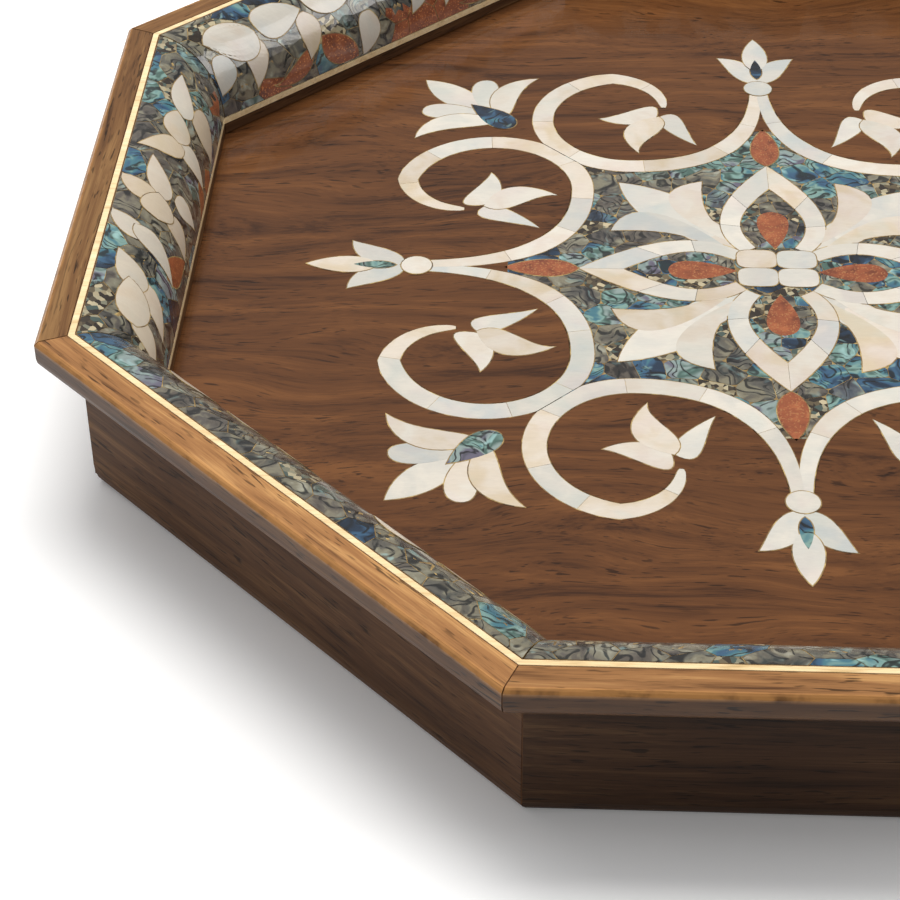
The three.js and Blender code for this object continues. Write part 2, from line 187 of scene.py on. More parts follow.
class Nodes:
    """Short names for building one node tree."""

    def __init__(self, tree):
        self.tree = tree
        self.links = tree.links

    def new(self, kind, **values):
        node = self.tree.nodes.new(kind)
        for key, value in values.items():
            setattr(node, key, value)
        return node

    def feed(self, socket, value):
        """Link or set a socket; nothing is done for None."""
        if isinstance(value, bpy.types.NodeSocket):
            self.links.new(value, socket)
        elif value is not None:
            socket.default_value = value

    def math(self, operation, a, b=None, clamp=False):
        node = self.new("ShaderNodeMath", operation=operation, use_clamp=clamp)
        for socket, value in zip(node.inputs, (a, b)):
            self.feed(socket, value)
        return node.outputs[0]

    def add(self, a, b, clamp=False):
        return self.math("ADD", a, b, clamp)

    def sub(self, a, b):
        return self.math("SUBTRACT", a, b)

    def mul(self, a, b):
        return self.math("MULTIPLY", a, b)

    def vec(self, operation, a, b=None):
        node = self.new("ShaderNodeVectorMath", operation=operation)
        self.feed(node.inputs[0], a)
        if b is not None:
            self.feed(node.inputs["Scale"] if operation == "SCALE" else node.inputs[1], b)
        return node.outputs[0]

    def mix(self, factor, a, b, blend="MIX"):
        node = self.new("ShaderNodeMix", data_type="RGBA", blend_type=blend)
        self.feed(node.inputs[0], factor)
        self.feed(node.inputs[6], a)
        self.feed(node.inputs[7], b)
        return node.outputs[2]

    def ramp(self, value, stops, smooth=True):
        node = self.new("ShaderNodeValToRGB")
        node.color_ramp.interpolation = "EASE" if smooth else "LINEAR"
        elements = node.color_ramp.elements
        while len(elements) < len(stops):
            elements.new(0.5)
        for element, (place, colour) in zip(elements, stops):
            element.position = place
            element.color = colour
        self.feed(node.inputs[0], value)
        return node.outputs[0]

    def step(self, value, low, high, out_low=0.0, out_high=1.0):
        """A smooth step between two values."""
        node = self.new("ShaderNodeMapRange", interpolation_type="SMOOTHSTEP")
        for socket, number in zip(node.inputs, (value, low, high, out_low, out_high)):
            self.feed(socket, number)
        return node.outputs[0]

    def noise(self, vector, scale, detail=3.0, roughness=0.55, distortion=0.0):
        node = self.new("ShaderNodeTexNoise")
        self.feed(node.inputs["Vector"], vector)
        node.inputs["Scale"].default_value = scale
        node.inputs["Detail"].default_value = detail
        node.inputs["Roughness"].default_value = roughness
        node.inputs["Distortion"].default_value = distortion
        return node

    def xyz(self, x, y, z):
        node = self.new("ShaderNodeCombineXYZ")
        for socket, value in zip(node.inputs, (x, y, z)):
            self.feed(socket, value)
        return node.outputs[0]


def new_group(name, inputs, outputs):
    """A shader node group with these sockets, and the nodes that its effect starts and ends at."""
    tree = bpy.data.node_groups.new(name, "ShaderNodeTree")
    for socket, kind, default in inputs:
        made = tree.interface.new_socket(socket, in_out="INPUT", socket_type=kind)
        if default is not None:
            made.default_value = default
    for socket, kind in outputs:
        tree.interface.new_socket(socket, in_out="OUTPUT", socket_type=kind)
    n = Nodes(tree)
    return tree, n, n.new("NodeGroupInput").outputs, n.new("NodeGroupOutput").inputs


FLOAT, COLOUR, VECTOR = "NodeSocketFloat", "NodeSocketColor", "NodeSocketVector"


def wood_group():
    """Figure, streaks and pores of a board whose grain runs along the vector's X."""
    tree, n, i, o = new_group(
        "wood_figure",
        [
            ("Vector", VECTOR, None),
            ("Seed", FLOAT, 0.0),
            ("Figure", FLOAT, 5.0),
            ("Streak", FLOAT, 16.0),
            ("Wander", FLOAT, 0.012),
            ("Pores", FLOAT, 0.6),
            ("Dark", COLOUR, (0.03, 0.015, 0.007, 1)),
            ("Middle", COLOUR, (0.1, 0.05, 0.02, 1)),
            ("Light", COLOUR, (0.2, 0.1, 0.05, 1)),
        ],
        [("Color", COLOUR), ("Height", FLOAT)],
    )
    offset = n.xyz(n.mul(i["Seed"], 0.731), n.mul(i["Seed"], 0.217), i["Seed"])
    base = n.vec("ADD", i["Vector"], offset)
    slow = n.noise(n.vec("MULTIPLY", base, (1, 2.2, 2.2)), 7.0, 2.0).outputs["Color"]
    slow = n.vec("SUBTRACT", slow, (0.5, 0.5, 0.5))
    warped = n.vec("ADD", base, n.vec("SCALE", slow, i["Wander"]))
    # One unit across the grain is a growth band; along it a streak is many times as long.
    across = n.math("DIVIDE", 1000.0, i["Figure"])
    along = n.math("DIVIDE", across, i["Streak"])
    scaled = n.vec("MULTIPLY", warped, n.xyz(along, across, across))
    figure = n.noise(scaled, 0.55, 5.0, 0.62, 0.4).outputs[0]
    fibre = n.noise(n.vec("MULTIPLY", scaled, (2.2, 7.0, 7.0)), 1.0, 3.0, 0.6).outputs[0]
    cloud = n.noise(n.vec("MULTIPLY", base, (0.6, 1.0, 1.0)), 16.0, 2.0).outputs[0]
    bands = n.math("SINE", n.mul(n.noise(scaled, 0.22, 2.0, 0.5, 0.2).outputs[0], 46.0))
    tone = n.mul(figure, 0.50)
    tone = n.add(tone, n.mul(fibre, 0.26))
    tone = n.add(tone, n.mul(cloud, 0.24))
    tone = n.add(tone, n.mul(bands, 0.035))
    lower = n.mix(n.step(tone, 0.34, 0.50), i["Dark"], i["Middle"])
    colour = n.mix(n.step(tone, 0.48, 0.66), lower, i["Light"])
    dashes = n.noise(n.vec("MULTIPLY", warped, (150.0, 1500.0, 1500.0)), 1.0, 1.0, 0.4).outputs[0]
    clumps = n.step(n.noise(scaled, 0.9, 1.0).outputs[0], 0.38, 0.62)
    pores = n.mul(n.step(dashes, 0.60, 0.70), n.add(n.mul(clumps, 0.7), 0.3))
    dark = n.sub(1.0, n.mul(n.mul(pores, i["Pores"]), 0.72))
    n.feed(o["Color"], n.mix(1.0, colour, n.xyz(dark, dark, dark), "MULTIPLY"))
    n.feed(o["Height"], n.sub(n.mul(fibre, 0.35), pores))
    return tree


def pearl_group():
    """Mother of pearl: pale clouded shell, each piece with its own cast."""
    tree, n, i, o = new_group(
        "pearl_shell",
        [("Vector", VECTOR, None), ("Tone", FLOAT, 0.5), ("Warmth", FLOAT, 0.0)],
        [("Color", COLOUR), ("Height", FLOAT)],
    )
    jump = n.mul(i["Tone"], 7.3)
    base = n.vec("ADD", i["Vector"], n.xyz(jump, n.mul(jump, 1.7), n.mul(jump, 0.6)))
    cloud = n.noise(base, 95.0, 3.0, 0.5, 0.6).outputs[0]
    veil = n.noise(n.vec("ADD", base, (3.1, 0.2, 1.7)), 60.0, 2.0, 0.5, 0.8).outputs[0]
    cast = n.math("FRACT", n.mul(i["Tone"], 5.37))
    hue = n.add(n.mul(cloud, 0.55), n.mul(cast, 0.45))
    colour = n.ramp(
        hue,
        [
            (0.22, screen(204, 206, 202)),
            (0.36, screen(218, 214, 204)),
            (0.50, screen(230, 223, 210)),
            (0.62, screen(226, 214, 198)),
            (0.78, screen(216, 198, 170)),
        ],
    )
    rose = n.mul(n.step(veil, 0.52, 0.70), 0.22)
    colour = n.mix(rose, colour, screen(218, 196, 194))
    mint = n.mul(n.step(veil, 0.46, 0.30), 0.22)
    colour = n.mix(mint, colour, screen(190, 206, 200))
    colour = n.mix(n.mul(i["Warmth"], 0.8), colour, screen(206, 184, 150))
    growth = n.noise(n.vec("MULTIPLY", base, (1.0, 5.0, 1.0)), 240.0, 2.0, 0.5, 1.5).outputs[0]
    lines = n.add(0.83, n.mul(growth, 0.15))
    depth = n.math("FRACT", n.mul(i["Tone"], 11.9))
    lit = n.mul(lines, n.add(0.79, n.mul(depth, 0.14)))
    n.feed(o["Color"], n.mix(1.0, colour, n.xyz(lit, lit, lit), "MULTIPLY"))
    n.feed(o["Height"], growth)
    return tree


def abalone_group():
    """Abalone: blue, teal and silver clouds crossed by dark growth lines."""
    tree, n, i, o = new_group(
        "abalone_shell",
        [("Vector", VECTOR, None), ("Tone", FLOAT, 0.5), ("Grey", FLOAT, 0.3)],
        [("Color", COLOUR), ("Height", FLOAT)],
    )
    jump = n.mul(i["Tone"], 9.1)
    base = n.vec("ADD", i["Vector"], n.xyz(jump, n.mul(jump, 0.7), n.mul(jump, 1.3)))
    pull = n.vec("SUBTRACT", n.noise(base, 70.0, 2.0).outputs["Color"], (0.5, 0.5, 0.5))
    warped = n.vec("ADD", base, n.vec("SCALE", pull, 0.016))
    cast = n.math("FRACT", n.mul(i["Tone"], 3.71))
    hue = n.noise(warped, 105.0, 2.0, 0.55, 0.5).outputs[0]
    spread = n.add(n.mul(hue, 0.72), n.mul(cast, 0.34))
    colour = n.ramp(
        spread,
        [
            (0.26, screen(20, 26, 34)),
            (0.37, screen(30, 48, 68)),
            (0.45, screen(54, 88, 116)),
            (0.51, screen(68, 114, 126)),
            (0.57, screen(124, 156, 148)),
            (0.62, screen(70, 96, 88)),
            (0.69, screen(138, 154, 150)),
            (0.77, screen(100, 96, 112)),
            (0.88, screen(52, 54, 58)),
        ],
    )
    mist = n.noise(warped, 330.0, 3.0, 0.6).outputs[0]
    drab = n.ramp(
        n.add(n.mul(hue, 0.6), n.mul(mist, 0.4)),
        [
            (0.36, screen(46, 42, 38)),
            (0.47, screen(92, 84, 74)),
            (0.56, screen(126, 118, 98)),
            (0.68, screen(160, 156, 138)),
        ],
    )
    kind = n.math("FRACT", n.mul(i["Tone"], 8.13))
    greyed = n.step(kind, n.sub(0.98, i["Grey"]), n.sub(1.03, i["Grey"]))
    colour = n.mix(n.mul(greyed, 0.92), colour, drab)
    contour = n.math("SINE", n.mul(n.noise(warped, 58.0, 1.5, 0.5, 0.5).outputs[0], 74.0))
    ink = n.mul(n.step(contour, 0.30, 0.92), n.step(mist, 0.34, 0.50))
    colour = n.mix(n.mul(ink, 0.9), colour, screen(18, 19, 20))
    glints = n.step(n.noise(warped, 190.0, 2.0).outputs[0], 0.60, 0.72)
    flash = n.mul(glints, n.sub(0.62, n.mul(kind, 0.5)))
    colour = n.mix(flash, colour, screen(166, 206, 204))
    crumbs = n.new("ShaderNodeTexVoronoi")
    n.feed(crumbs.inputs["Vector"], base)
    crumbs.inputs["Scale"].default_value = 620.0
    crumb = n.new("ShaderNodeSeparateColor")
    n.feed(crumb.inputs[0], crumbs.outputs["Color"])
    grit = n.ramp(
        crumb.outputs[0],
        [
            (0.25, screen(44, 36, 28)),
            (0.50, screen(96, 84, 62)),
            (0.72, screen(196, 182, 148)),
            (0.90, screen(70, 84, 78)),
        ],
        smooth=False,
    )
    gritty = n.step(n.math("FRACT", n.mul(i["Tone"], 17.7)), 0.86, 0.87)
    colour = n.mix(gritty, colour, grit)
    n.feed(o["Color"], colour)
    n.feed(o["Height"], n.sub(mist, ink))
    return tree


def handling_group():
    """Fine rubbing marks and a little dust, as a roughness value and a faint height."""
    tree, n, i, o = new_group(
        "handling_marks",
        [("Vector", VECTOR, None), ("Roughness", FLOAT, 0.3), ("Spread", FLOAT, 0.1)],
        [("Roughness", FLOAT), ("Height", FLOAT)],
    )
    smear = n.noise(n.vec("MULTIPLY", i["Vector"], (1.0, 2.5, 1.0)), 22.0, 3.0, 0.6, 0.8).outputs[0]
    specks = n.step(n.noise(i["Vector"], 900.0, 2.0).outputs[0], 0.66, 0.78)
    value = n.add(i["Roughness"], n.mul(n.sub(smear, 0.5), i["Spread"]))
    n.feed(o["Roughness"], n.add(value, n.mul(specks, 0.05), clamp=True))
    n.feed(o["Height"], n.mul(specks, 0.4))
    return tree


def rim_group():
    """Wear and painted light of a rail: its arris rubbed bare and lightened further as a painted highlight,
    and its outer face and the rail below its top darkened as painted shade. Outwards is minus Y.
    """
    tree, n, i, o = new_group(
        "rubbed_highlit_rim",
        [
            ("Vector", VECTOR, None),
            ("Color", COLOUR, None),
            ("Inner", FLOAT, 0.19),
            ("Outer", FLOAT, 0.2),
            ("Rubbed Highlight", COLOUR, screen(206, 148, 86)),
        ],
        [("Color", COLOUR)],
    )
    split = n.new("ShaderNodeSeparateXYZ")
    n.feed(split.inputs[0], i["Vector"])
    reach, height = n.mul(split.outputs[1], -1.0), split.outputs[2]
    # The arris: real rubbing, lightened further as a painted highlight of the rounded edge.
    worn_highlit = n.mul(n.step(reach, i["Inner"], i["Outer"]), n.step(height, TOP - 2.2 * MM, TOP - 0.7 * MM))
    ragged = n.step(n.noise(i["Vector"], 160.0, 3.0).outputs[0], 0.20, 0.56)
    # The outer face and the rail below its top are darkened as painted shade, for faces turned from the
    # light.
    beyond = n.step(reach, i["Outer"], n.add(i["Outer"], 0.3 * MM))
    below = n.step(height, TOP - 1.4 * MM, TOP - 2.2 * MM)
    painted_face_shade = n.mix(1.0, i["Color"], screen(98, 84, 72), "MULTIPLY")
    colour = n.mix(n.mul(n.math("MAXIMUM", beyond, below), 0.85), i["Color"], painted_face_shade)
    n.feed(o["Color"], n.mix(n.mul(n.mul(worn_highlit, ragged), 0.5), colour, i["Rubbed Highlight"]))
    return tree


GROUPS = {}
GROUP_MAKERS = {
    "wood": wood_group,
    "pearl": pearl_group,
    "abalone": abalone_group,
    "handling": handling_group,
    "rim": rim_group,
}


def shared_group(name):
    """The named node group, built once."""
    if name not in GROUPS:
        GROUPS[name] = GROUP_MAKERS[name]()
    return GROUPS[name]


class Finish:
    """One material under construction: its nodes, its shader and its coordinates."""

    def __init__(self, name, turn=0.0):
        self.material = bpy.data.materials.new(name)
        self.material.use_nodes = True
        self.n = Nodes(self.material.node_tree)
        self.shader = self.material.node_tree.nodes["Principled BSDF"]
        coordinates = self.n.new("ShaderNodeTexCoord").outputs["Object"]
        mapping = self.n.new("ShaderNodeMapping")
        self.n.feed(mapping.inputs["Vector"], coordinates)
        mapping.inputs["Rotation"].default_value = (0, 0, turn)
        self.vector = mapping.outputs[0]

    def set(self, **values):
        for name, value in values.items():
            self.n.feed(self.shader.inputs[name.replace("_", " ")], value)
        return self

    def use(self, name, **values):
        """Place a shared node group and give its outputs."""
        node = self.n.new("ShaderNodeGroup")
        node.node_tree = shared_group(name)
        self.n.feed(node.inputs["Vector"], self.vector)
        for key, value in values.items():
            self.n.feed(node.inputs[key], value)
        return node.outputs

    def bump(self, height, strength, distance):
        node = self.n.new("ShaderNodeBump")
        node.inputs["Strength"].default_value = strength
        node.inputs["Distance"].default_value = distance
        self.n.feed(node.inputs["Height"], height)
        self.n.feed(self.shader.inputs["Normal"], node.outputs[0])
        return self

    def tone(self, name="tone"):
        """A value that each face of a piece carries."""
        node = self.n.new("ShaderNodeAttribute", attribute_type="GEOMETRY", attribute_name=name)
        return node.outputs["Fac"]


def wood_finish(name, turn, seed, dark, middle, light, figure=5.0, streak=16.0, pores=0.6, wander=0.012,
                roughness=0.42, coat=0.25, coat_roughness=0.12, rim=None):
    """A wood whose grain runs along X after the turn. Between the two reaches of rim its arris is rubbed and
    given a painted highlight, and its outer face is darkened as painted shade.
    """
    f = Finish(name, turn)
    wood = f.use("wood", Seed=seed, Figure=figure, Streak=streak, Wander=wander, Pores=pores,
                 Dark=dark, Middle=middle, Light=light)
    marks = f.use("handling", Roughness=roughness, Spread=0.12)
    colour = wood["Color"]
    if rim:
        # Rubbing with a painted highlight on the arris, and painted shade on the outer face.
        colour = f.use("rim", Color=colour, Inner=rim[0], Outer=rim[1])["Color"]
    f.set(Base_Color=colour, Roughness=marks["Roughness"], Coat_Weight=coat, Coat_Roughness=coat_roughness,
          Specular_IOR_Level=0.16)
    height = f.n.add(wood["Height"], f.n.mul(marks["Height"], 0.3))
    return f.bump(height, 0.22, 0.2 * MM).material


def shell_materials():
    """Pearl, abalone, copper glass and glue, in that order, for the inlay pieces."""
    if "pearl_plate" in bpy.data.materials:
        return [bpy.data.materials[k] for k in ("pearl_plate", "abalone_chip", "copper_glass", "amber_glue")]
    pearl = Finish("pearl_plate")
    shell = pearl.use("pearl", Tone=pearl.tone(), Warmth=pearl.tone("warmth"))
    marks = pearl.use("handling", Roughness=0.30, Spread=0.12)
    pearl.set(Base_Color=shell["Color"], Roughness=marks["Roughness"], Coat_Weight=0.4, Coat_Roughness=0.08)
    pearl.bump(shell["Height"], 0.06, 0.1 * MM)

    abalone = Finish("abalone_chip")
    shell = abalone.use("abalone", Tone=abalone.tone(), Grey=abalone.tone("warmth"))
    marks = abalone.use("handling", Roughness=0.24, Spread=0.10)
    abalone.set(Base_Color=shell["Color"], Roughness=marks["Roughness"], Metallic=0.1, Coat_Weight=0.6,
                Coat_Roughness=0.07)
    abalone.bump(shell["Height"], 0.10, 0.12 * MM)

    copper = Finish("copper_glass")
    n = copper.n
    spark = n.new("ShaderNodeTexVoronoi")
    n.feed(spark.inputs["Vector"], copper.vector)
    spark.inputs["Scale"].default_value = 2600.0
    split = n.new("ShaderNodeSeparateColor")
    n.feed(split.inputs[0], spark.outputs["Color"])
    glint = n.step(split.outputs[0], 0.80, 0.97)
    cloud = n.noise(copper.vector, 240.0, 3.0).outputs[0]
    ground = n.ramp(
        cloud, [(0.3, screen(106, 50, 26)), (0.5, screen(138, 72, 40)), (0.7, screen(160, 90, 52))]
    )
    copper.set(Base_Color=n.mix(glint, ground, screen(214, 144, 94)), Roughness=0.28,
               Metallic=n.mul(glint, 0.7), Coat_Weight=0.7, Coat_Roughness=0.06)

    glue = Finish("amber_glue")
    n = glue.n
    resin = n.ramp(n.noise(glue.vector, 300.0, 3.0).outputs[0],
                   [(0.3, screen(70, 54, 34)), (0.5, screen(136, 112, 72)), (0.68, screen(186, 160, 104))])
    glue.set(Base_Color=resin, Roughness=0.45)
    glue.bump(n.noise(glue.vector, 700.0, 2.0).outputs[0], 0.2, 0.1 * MM)
    return [f.material for f in (pearl, abalone, copper, glue)]


PEARL, ABALONE, COPPER, GLUE_SLOT = 0, 1, 2, 3


# ---------------------------------------------------------------- outlines


def bezier(a, b, c, d, steps):
    """Points of a cubic curve, both ends included."""
    points = []
    for k in range(steps + 1):
        t = k / steps
        s = 1 - t
        weights = (s * s * s, 3 * s * s * t, 3 * s * t * t, t * t * t)
        points.append(tuple(sum(w * p[axis] for w, p in zip(weights, (a, b, c, d))) for axis in (0, 1)))
    return points


def leaf(base, out_a, out_b, tip, back_b, back_a, steps=14):
    """Outline of a leaf: out along one side and back along the other."""
    return bezier(base, out_a, out_b, tip, steps)[:-1] + bezier(tip, back_b, back_a, base, steps)[:-1]


def two_sided(base, tip, left, right, steps=14):
    """Outline from a base to a tip; each side has two handles as (share of the way, distance across)."""
    dx, dy = tip[0] - base[0], tip[1] - base[1]
    size = math.hypot(dx, dy)

    def at(along, across):
        return (base[0] + dx * along - dy / size * across, base[1] + dy * along + dx / size * across)

    there = bezier(base, at(*left[0]), at(*left[1]), tip, steps)
    back = bezier(base, at(*right[0]), at(*right[1]), tip, steps)
    return there + back[1:-1][::-1]


def petal(base, tip, left, right, bend=0.0):
    """Outline of a petal whose sides swell to their own widths."""
    return two_sided(
        base,
        tip,
        ((0.2, 1.45 * left), (0.72, 0.95 * left + bend)),
        ((0.2, -1.45 * right), (0.72, -0.95 * right + bend)),
    )


def blade(base, tip, left, right):
    """Outline of a leaf with a full belly near its base and a drawn-out tip."""
    return two_sided(
        base,
        tip,
        ((0.22, 1.45 * left), (0.70, 0.62 * left)),
        ((0.16, -1.35 * right), (0.62, -0.42 * right)),
    )


def disc(centre, radius, steps=28):
    turns = [2 * math.pi * k / steps for k in range(steps)]
    return [(centre[0] + radius * math.cos(t), centre[1] + radius * math.sin(t)) for t in turns]


def cushion(centre, half_x, half_y, steps=32):
    """A rounded rectangle with bulging sides."""
    points = []
    for k in range(steps):
        c, s = math.cos(2 * math.pi * k / steps), math.sin(2 * math.pi * k / steps)
        points.append(
            (
                centre[0] + half_x * math.copysign(abs(c) ** 0.55, c),
                centre[1] + half_y * math.copysign(abs(s) ** 0.55, s),
            )
        )
    return points


def inside(points, place):
    """Whether a place lies within an outline."""
    x, y = place
    hit = False
    for a, b in zip(points, points[1:] + points[:1]):
        if (a[1] > y) != (b[1] > y) and x < a[0] + (y - a[1]) / (b[1] - a[1]) * (b[0] - a[0]):
            hit = not hit
    return hit


def over_diagonal(points):
    """The outline mirrored over the diagonal between two arms."""
    return [(y, x) for x, y in points][::-1]


def over_axis(points):
    """The outline mirrored over the left-hand arm."""
    return [(x, -y) for x, y in points][::-1]


def turned(points, turn):
    """The outline moved round by quarter turns."""
    c, s = [(1, 0), (0, 1), (-1, 0), (0, -1)][turn]
    return [(x * c - y * s, x * s + y * c) for x, y in points]


def sized(points):
    """An outline given in medallion radii, at its real size."""
    return [(x * RADIUS, y * RADIUS) for x, y in points]


def signed_area(points):
    return 0.5 * sum(a[0] * b[1] - b[0] * a[1] for a, b in zip(points, points[1:] + points[:1]))


def facing_up(points):
    """The outline in counter-clockwise order."""
    return points if signed_area(points) > 0 else points[::-1]


def grown(points, distance):
    """The outline moved outwards, with the shift limited at sharp tips. The order of its points is kept."""
    if signed_area(points) < 0:
        distance = -distance
    count = len(points)
    moved = []
    for k in range(count):
        a, b, c = Vector(points[k - 1]), Vector(points[k]), Vector(points[(k + 1) % count])
        e1, e2 = (b - a), (c - b)
        if e1.length < 1e-9 or e2.length < 1e-9:
            moved.append((b.x, b.y))
            continue
        n1, n2 = Vector((e1.y, -e1.x)).normalized(), Vector((e2.y, -e2.x)).normalized()
        both = n1 + n2
        if both.length < 0.2:
            both = n1 if both.length < 1e-6 else both
        both.normalize()
        reach = distance / max(0.55, both.dot(n1))
        moved.append((b.x + both.x * reach, b.y + both.y * reach))
    return moved


def clipped(points, place, normal):
    """The part of an outline behind a line."""
    kept = []
    for k, p in enumerate(points):
        q = points[k - 1]
        dp = (p[0] - place[0]) * normal[0] + (p[1] - place[1]) * normal[1]
        dq = (q[0] - place[0]) * normal[0] + (q[1] - place[1]) * normal[1]
        if (dp <= 0) != (dq <= 0):
            t = dq / (dq - dp)
            kept.append((q[0] + (p[0] - q[0]) * t, q[1] + (p[1] - q[1]) * t))
        if dp <= 0:
            kept.append(p)
    return kept


def cells(region, seeds, reach):
    """The region's share nearest to each seed point."""
    for k, here in enumerate(seeds):
        part = region
        for j, other in enumerate(seeds):
            gap = math.hypot(other[0] - here[0], other[1] - here[1])
            if j == k or gap > reach:
                continue
            middle = ((here[0] + other[0]) / 2, (here[1] + other[1]) / 2)
            part = clipped(part, middle, (other[0] - here[0], other[1] - here[1]))
            if len(part) < 3:
                break
        if len(part) >= 3 and abs(signed_area(part)) > (0.16 * reach) ** 2 * 0.2:
            yield facing_up(part)


def scattered(half, step, rng):
    """Seed points on a jittered hexagonal net."""
    rows = int(2 * half / (step * 0.87)) + 2
    points = []
    for r in range(rows):
        for c in range(int(2 * half / step) + 2):
            x = -half + (c + 0.5 * (r % 2)) * step + rng.uniform(-0.36, 0.36) * step
            y = -half + r * step * 0.87 + rng.uniform(-0.36, 0.36) * step
            points.append((x, y))
    return points


def eased(points, share_cut=0.22):
    """An outline with its corners cut, as hand-filed chips have."""
    cut = []
    count = len(points)
    for k in range(count):
        a, b, c = points[k - 1], points[k], points[(k + 1) % count]
        cut.append(tuple(b[m] + (a[m] - b[m]) * share_cut for m in (0, 1)))
        cut.append(tuple(b[m] + (c[m] - b[m]) * share_cut for m in (0, 1)))
    return cut


# Overlapping plates lie one thin step above each other, with the glue round each a little lower.
LAYER_STEP, SKIRT_DROP, LEAF_SKIRT_DROP, SKIRT = 0.02 * MM, 0.03 * MM, 0.012 * MM, 0.85 * GLUE


class Plates:
    """Solids gathered into one mesh, each with its own tone.

    Each has its own warmth too, which is how yellow a pearl plate is, or how grey an abalone chip is.
    """

    def __init__(self, seed):
        self.verts, self.faces, self.slots, self.tones, self.warmths = [], [], [], [], []
        self.rng = random.Random(seed)

    def add_face(self, face, slot, tone, warmth):
        self.faces.append(face)
        self.slots.append(slot)
        self.tones.append(tone)
        self.warmths.append(warmth)

    def block(self, lower, upper, slot, tone, warmth):
        """A solid between two rings of as many points."""
        first, count = len(self.verts), len(lower)
        self.verts.extend(lower + upper)
        self.add_face([first + count + k for k in range(count)], slot, tone, warmth)
        self.add_face([first + k for k in range(count)][::-1], slot, tone, warmth)
        for k in range(count):
            j = (k + 1) % count
            self.add_face([first + k, first + j, first + count + j, first + count + k], slot, tone, warmth)

    def prism(self, points, bottom, top, slot, warmth=0.0):
        """An upright solid over an outline, with the next tone."""
        points = facing_up(points)
        rings = ([(x, y, z) for x, y in points] for z in (bottom, top))
        self.block(*rings, slot, self.rng.random(), warmth)

    def shape(self, points, settings, layer, slot=PEARL):
        """One shell plate, given in medallion radii, with a skirt of glue round it."""
        real = sized(facing_up(points))
        bottom = FLOOR - settings.thickness
        top = FLOOR + layer * LAYER_STEP
        self.prism(grown(real, SKIRT), bottom, top - SKIRT_DROP, GLUE_SLOT)
        self.prism(grown(real, -settings.joint / 2), bottom, top, slot)

    def piece(self, name, replaces=()):
        """The gathered solids as one finished piece of the tray."""
        mesh = bpy.data.meshes.new(name)
        mesh.from_pydata(self.verts, [], self.faces)
        for label, values in (("tone", self.tones), ("warmth", self.warmths)):
            layer = mesh.attributes.new(label, "FLOAT", "FACE")
            layer.data.foreach_set("value", values)
        for material in shell_materials():
            mesh.materials.append(material)
        mesh.polygons.foreach_set("material_index", self.slots)
        work = bmesh.new()
        work.from_mesh(mesh)
        bmesh.ops.remove_doubles(work, verts=work.verts, dist=1e-7)
        bmesh.ops.dissolve_degenerate(work, edges=work.edges, dist=1e-8)
        bmesh.ops.recalc_face_normals(work, faces=work.faces)
        work.to_mesh(mesh)
        work.free()
        if not mesh.polygons:
            raise RuntimeError(name + " came out empty")
        made = bpy.data.objects.new(name, mesh)
        bpy.context.scene.collection.objects.link(made)
        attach(made, "root")
        if replaces:
            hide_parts(*replaces)
        return made


# Floor pattern, in medallion radii, drawn for the left-hand arm. The same numbers cut the board's pockets.
BAND, BAND_START, BAND_END = 0.0235, 0.012, 0.004
STEM = ((-0.745, -0.008), (-0.55, -0.014), (-0.412, -0.1))
SCROLL_CENTRE, SCROLL_RADIUS = (-0.609, -0.308), 0.197
TAIL_ANGLE = math.radians(-170)
TAIL = ((-0.793, -0.275), (-0.745, -0.226), (-0.672, -0.224))
STEM_PART, SCROLL_PART, TAIL_PART = 9.0, 16.0, 6.0
BEAD_R, BEAD_RADIUS = 0.765, 0.033


def scroll_path(fine=4):
    """Centreline of a scroll as (x, y, stage), where stage runs through stem, circle and tail."""
    cx, cy = SCROLL_CENTRE
    stem_steps, arc_steps, tail_steps = int(STEM_PART * fine), int(SCROLL_PART * fine), int(TAIL_PART * fine)
    path = [
        (x, y, STEM_PART * k / stem_steps)
        for k, (x, y) in enumerate(bezier(*STEM, (cx + SCROLL_RADIUS, cy), stem_steps))
    ]
    for k in range(1, arc_steps + 1):
        angle = TAIL_ANGLE * k / arc_steps
        place = cx + SCROLL_RADIUS * math.cos(angle), cy + SCROLL_RADIUS * math.sin(angle)
        path.append((*place, STEM_PART + SCROLL_PART * k / arc_steps))
    start = path[-1][:2]
    for k, (x, y) in enumerate(bezier(start, *TAIL, tail_steps)[1:], 1):
        path.append((x, y, STEM_PART + SCROLL_PART + TAIL_PART * k / tail_steps))
    return path


def band_half(stage):
    """Half the band's width at a stage: it opens along the stem and closes to the tail's tip."""
    total = STEM_PART + SCROLL_PART + TAIL_PART
    opened = min(1.0, stage / STEM_PART / 0.5)
    closing = min(1.0, max(0.0, (total - stage) / (TAIL_PART + 1)))
    start = BAND_START + (BAND - BAND_START) * opened
    return BAND_END + (start - BAND_END) * math.sqrt(closing)


def path_normal(path, k):
    """Unit vector to the left of a path at one of its points."""
    a, b = path[max(k - 1, 0)], path[min(k + 1, len(path) - 1)]
    dx, dy = b[0] - a[0], b[1] - a[1]
    size = math.hypot(dx, dy)
    return -dy / size, dx / size


def inside_wedge(point):
    """The point kept on its own arm's side of both diagonals."""
    x, y = point
    room = GLUE / 2 / RADIUS * math.sqrt(2)
    over = abs(y) - (-x - room)
    if over > 0:
        x -= over / 2
        y -= math.copysign(over / 2, y)
    return x, y


def band_piece(path, first, last, extra):
    """Outline of the scroll's band between two places on its path, grown sideways by extra."""
    left, right = [], []
    for k in range(first, last + 1):
        nx, ny = path_normal(path, k)
        w = band_half(path[k][2]) + extra
        left.append(inside_wedge((path[k][0] + nx * w, path[k][1] + ny * w)))
        right.append(inside_wedge((path[k][0] - nx * w, path[k][1] - ny * w)))
    return left + right[::-1]


